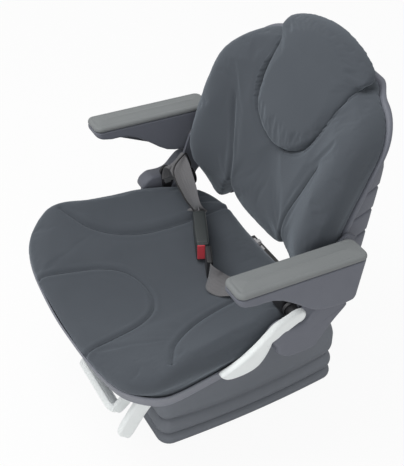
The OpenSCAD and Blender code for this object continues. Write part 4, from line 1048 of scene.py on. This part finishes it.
b = buckle
buckleBody = roundedBox("buckle_housing", (-b["l"] / 2, -b["t"] / 2, -b["h"] / 2),
                        (b["l"] / 2 - 4, b["t"] / 2, b["h"] / 2), 4.5, "seat", "buckle_plastic", crown=0.6)
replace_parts(buckleBody, "buckle_body")
roundedBox("buckle_lip", (b["l"] / 2 - 6, -b["t"] / 2 + 1.2, -b["h"] / 2 + 1.2),
           (b["l"] / 2, b["t"] / 2 - 1.2, b["h"] / 2 - 1.2), 2.0, "seat", "buckle_plastic")
button = roundedBox("release_button_cap", (b["l"] / 2 - 8, -b["t"] / 2 + 1.8, -17.7),
                    (b["l"] / 2 + 1.6, b["t"] / 2 - 8.3, b["h"] / 2 - 3.3), 1.6, "release_button", "red_plastic")
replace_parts(button, "buckle_button")
tongue = roundedBox("tongue_plate", (b["l"] / 2 - 5, b["webY"] - 1.2, -18), (b["l"] / 2 + 16, b["webY"] + 1.2, 18), 1.0,
                    "seat", "bright_steel")
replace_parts(tongue, "belt_tongue")
tongueGrip = roundedBox("tongue_cover", (b["l"] / 2 + 12, b["webY"] - 6, -17),
                        (b["l"] / 2 + 58, b["webY"] + 6, 33), 3.5, "seat", "black_plastic", crown=0.5)
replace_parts(tongueGrip, "tongue_grip")

upDir = inBuckle((0, 0, 1)) - inBuckle((0, 0, 0))
strapStops = [((-233, 26, 352), (0, 1, 0.1)), ((-233, 27, 370), (0, 0.95, 0.3)), ((-229, 29, 390), (0, 0.85, 0.5)),
              ((-219, 30, 400), (0, 0.75, 0.67)), ((-202, 30, 396), (0.05, 0.7, 0.7)),
              ((-176, 28, 382), (0.2, 0.55, 0.8)), ((-146, 26, 364), (0.25, 0.35, 0.9)),
              ((-120, 24, 347), (0.22, 0.1, 0.97)),
              (tuple(inBuckle((-66, 0, 0))), tuple(upDir)), (tuple(inBuckle((-50, 0, 0))), tuple(upDir))]
webStops = [(tuple(inBuckle((104, b["webY"], 0)) + [0, 0, 6]), tuple(upDir)),
            (tuple(inBuckle((117, b["webY"], 0)) + [0, 0, 6]), (0.1, 0.25, 1)), ((76, -38, 315), (0, 0.8, 0.6)),
            ((96, -24, 313), (0, 1, 0.25)), ((120, -4, 319), (0, 1, 0.08)), ((146, 18, 331), (0, 1, 0.03)),
            ((168, 34, 343), (0, 1, 0)), ((188, 41, 349), (0, 1, 0)), ((206, 41, 349), (0, 1, 0))]


def webbingProfile(width, thick, ribs=7):
    # a flat band whose two faces carry shallow lengthwise ribs
    t = np.linspace(-1, 1, 57)
    rib = 0.22 * np.cos(t * math.pi * ribs)
    edge = np.sqrt(np.clip(1 - t ** 16, 0, 1))
    top = np.column_stack([t * width / 2, (thick / 2 - 0.15 + rib) * edge])
    low = np.column_stack([t[::-1] * width / 2, -(thick / 2 - 0.15 + rib[::-1]) * edge[::-1]])
    return np.vstack([top, low[1:-1]])[::-1]


def strap(name, stops, body):
    both = splineThrough(np.array([[*p, *np.multiply(g, 25)] for p, g in stops]), 90, closed=False)
    return sweep(name, both[:, :3], both[:, 3:], webbingProfile(47, 2.2), body, "webbing")


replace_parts(strap("buckle_strap_webbing", strapStops, "seat"), "buckle_strap")
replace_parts(strap("lap_belt_webbing", webStops, "seat"), "belt_webbing")

reel = roundedBox("belt_reel_housing", (192, 13, 338), (234, 69, 384), 5.0, "seat", "black_plastic", crown=0.4,
                  place=lambda p: p)
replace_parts(reel, "belt_retractor")
roundedBox("belt_reel_mouth", (189.5, 14.5, 344.5), (193, 67.5, 353.5), 1.5, "seat", "black_plastic",
           place=lambda p: p)
print("belt made")

# Buckle switch wire with its coil and plug

wireRoute = [tuple(inBuckle((-49.4, -7, 0)) + [0, 0, 14]), tuple(inBuckle((-56, -9, 0)) + [0, 0, 15]), (-128, 6, 363),
             (-146, 4, 375), (-160, 3, 384), (-176, 4, 393), (-190, 9, 401), (-200, 20, 408), (-206, 36, 416),
             (-209, 47, 420), (-213, 54, 412), (-216, 60, 398), (-217, 64, 385), (-217, 64, 371.2)]
coilSizes = {"mid": (-217.0, 64.0, 352.0), "radius": 15.0, "height": 13.0, "wire": 3.6}


def coilPath():
    # seven turns, each a little off the last, side by side in a ring
    c = coilSizes
    t = np.linspace(0, 7, 7 * 30)
    q = 2 * math.pi * t + math.pi / 2
    r = c["radius"] + 2.1 * np.sin(2 * math.pi * t / 3.5)
    y = (c["height"] - c["wire"]) / 2 * np.sin(2 * math.pi * t / 7 + 1.2)
    return np.column_stack([c["mid"][0] + r * np.cos(q), c["mid"][1] + y, c["mid"][2] + r * np.sin(q)])


wirePath = splineThrough(wireRoute, 96, closed=False)
wireSide = np.cross(np.gradient(wirePath, axis=0), (0.3, 1, 0.2))
wire = sweep("switch_wire_lead", wirePath, wireSide, circle(1.8, 10), "seat", "wire_rubber")
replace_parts(wire, "switch_wire")
turns = coilPath()
coil = sweep("switch_wire_coil", turns, turns - np.array(coilSizes["mid"]), circle(1.75, 8), "seat", "wire_rubber")
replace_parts(coil, "wire_coil")
plug = roundedBox("switch_wire_plug", (-212, 45.4, 343), (-198, 57.4, 369), 1.5, "seat", "black_plastic",
                  place=lambda p: p)
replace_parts(plug, "wire_plug")
print("wire made")

# Weight handle: a flat bar with a raised rim, a groove and an inner panel, on two arms

handleSizes = {"from": -14.0, "to": 138.0, "width": 30.0, "thick": 15.0, "y": -292.0, "z": 144.0, "lean": -38.0}


def placeHandle(u, v, w):
    t = math.radians(handleSizes["lean"])
    return (u, handleSizes["y"] + v * math.cos(t) - w * math.sin(t),
            handleSizes["z"] + v * math.sin(t) + w * math.cos(t))


def handleBar():
    # stadium outline; each stop is an inset from it and a height
    h = handleSizes
    r = h["width"] / 2
    q = np.linspace(-math.pi / 2, math.pi / 2, 25)
    near = np.column_stack([h["to"] - r + r * np.cos(q), r * np.sin(q)])
    far = np.column_stack([h["from"] + r - r * np.cos(q), -r * np.sin(q)])
    t = np.linspace(0, 1, 12)[1:-1, None]
    line = np.vstack([near, near[-1] * (1 - t) + far[0] * t, far, far[-1] * (1 - t) + near[0] * t])
    n = outwardNormals(line)
    top = h["thick"] / 2
    stops = splineThrough([(6, -top), (3, -top), (0.8, -top + 1), (0, -top + 4), (0, 2), (0.3, top - 3),
                           (1.4, top - 0.8), (3, top), (4, top - 0.2), (4.7, top - 1.4),
                           (5.4, top - 1.5), (6.1, top - 0.4), (7.2, top)], 44, closed=False)
    rings = [np.column_stack([line - n * i, np.full(len(line), w)]) for i, w in stops]
    last = rings[-1]
    spine = np.column_stack([np.clip(last[:, 0], h["from"] + r, h["to"] - r), np.zeros(len(last)), last[:, 2] + 0.6])
    rings += [last * (1 - f) + spine * f for f in (0.3, 0.6, 0.9)]
    rings = np.array(rings)
    return np.stack(placeHandle(rings[..., 0], rings[..., 1], rings[..., 2]), -1)


weightBar = loft("weight_bar_handle", handleBar(), "weight_bar", "light_plastic")
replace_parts(weightBar, "weight_handle", "weight_handle_insert")
for tag, low in (("inner", 8.0), ("outer", 130.0)):
    roundedPlate("weight_bar_arm_" + tag, [(-230, 204), (-222, 203), (-219, 196), (-221, 188), (-276, 134), (-292, 138),
                 (-296, 152), (-240, 200)], low, low + 8, 1.5, placeSide, "weight_bar", "light_plastic", count=90)
print("weight handle made")

# Floor, backdrop and light


def addStage():
    size = 12.0
    verts = [(-size, -size, 0), (size, -size, 0), (size, size, 0), (-size, size, 0)]
    mesh = bpy.data.meshes.new("floor")
    mesh.from_pydata(verts, [], [(0, 1, 2, 3)])
    floor = bpy.data.objects.new("floor", mesh)
    floor.location.z = -0.0005
    bpy.context.scene.collection.objects.link(floor)
    m = bpy.data.materials.new("paleFloor")
    m.use_nodes = True
    tree = m.node_tree
    tree.nodes.clear()
    out = tree.nodes.new("ShaderNodeOutputMaterial")
    diffuse = tree.nodes.new("ShaderNodeBsdfDiffuse")
    diffuse.inputs["Color"].default_value = (0.86, 0.86, 0.86, 1)
    glow = tree.nodes.new("ShaderNodeEmission")
    glow.inputs["Strength"].default_value = 1.0
    path = tree.nodes.new("ShaderNodeLightPath")
    mix = tree.nodes.new("ShaderNodeMixShader")
    share = mathNode(tree, "MULTIPLY", path.outputs["Is Camera Ray"], 0.93)
    tree.links.new(share, mix.inputs[0])
    tree.links.new(diffuse.outputs[0], mix.inputs[1])
    tree.links.new(glow.outputs[0], mix.inputs[2])
    tree.links.new(mix.outputs[0], out.inputs["Surface"])
    mesh.materials.append(m)


def addWorld(level):
    world = bpy.data.worlds.new("studio")
    world.use_nodes = True
    tree = world.node_tree
    tree.nodes.clear()
    out = tree.nodes.new("ShaderNodeOutputWorld")
    soft = tree.nodes.new("ShaderNodeBackground")
    soft.inputs["Strength"].default_value = level
    white = tree.nodes.new("ShaderNodeBackground")
    white.inputs["Strength"].default_value = 1.0
    path = tree.nodes.new("ShaderNodeLightPath")
    seen = mathNode(tree, "ADD", path.outputs["Is Camera Ray"],
                    mathNode(tree, "ADD", path.outputs["Is Glossy Ray"], path.outputs["Is Transmission Ray"]),
                    clamp=True)
    mix = tree.nodes.new("ShaderNodeMixShader")
    tree.links.new(seen, mix.inputs[0])
    tree.links.new(soft.outputs[0], mix.inputs[1])
    tree.links.new(white.outputs[0], mix.inputs[2])
    tree.links.new(mix.outputs[0], out.inputs["Surface"])
    bpy.context.scene.world = world


def addLamp(name, place, aim, size, power):
    data = bpy.data.lights.new(name, "AREA")
    data.shape = "SQUARE"
    data.size = size
    data.energy = power
    obj = bpy.data.objects.new(name, data)
    obj.location = place
    obj.rotation_euler = (Vector(aim) - Vector(place)).to_track_quat("-Z", "Y").to_euler()
    bpy.context.scene.collection.objects.link(obj)


addStage()
addWorld(0.62)
addLamp("topLight", (-0.4, -0.9, 2.6), (0, 0, 0.4), 1.8, 34.0)
addLamp("sideLight", (2.2, -1.6, 1.5), (0, 0, 0.3), 1.6, 16.0)
bpy.context.scene.view_settings.view_transform = "Standard"
print("stage made")
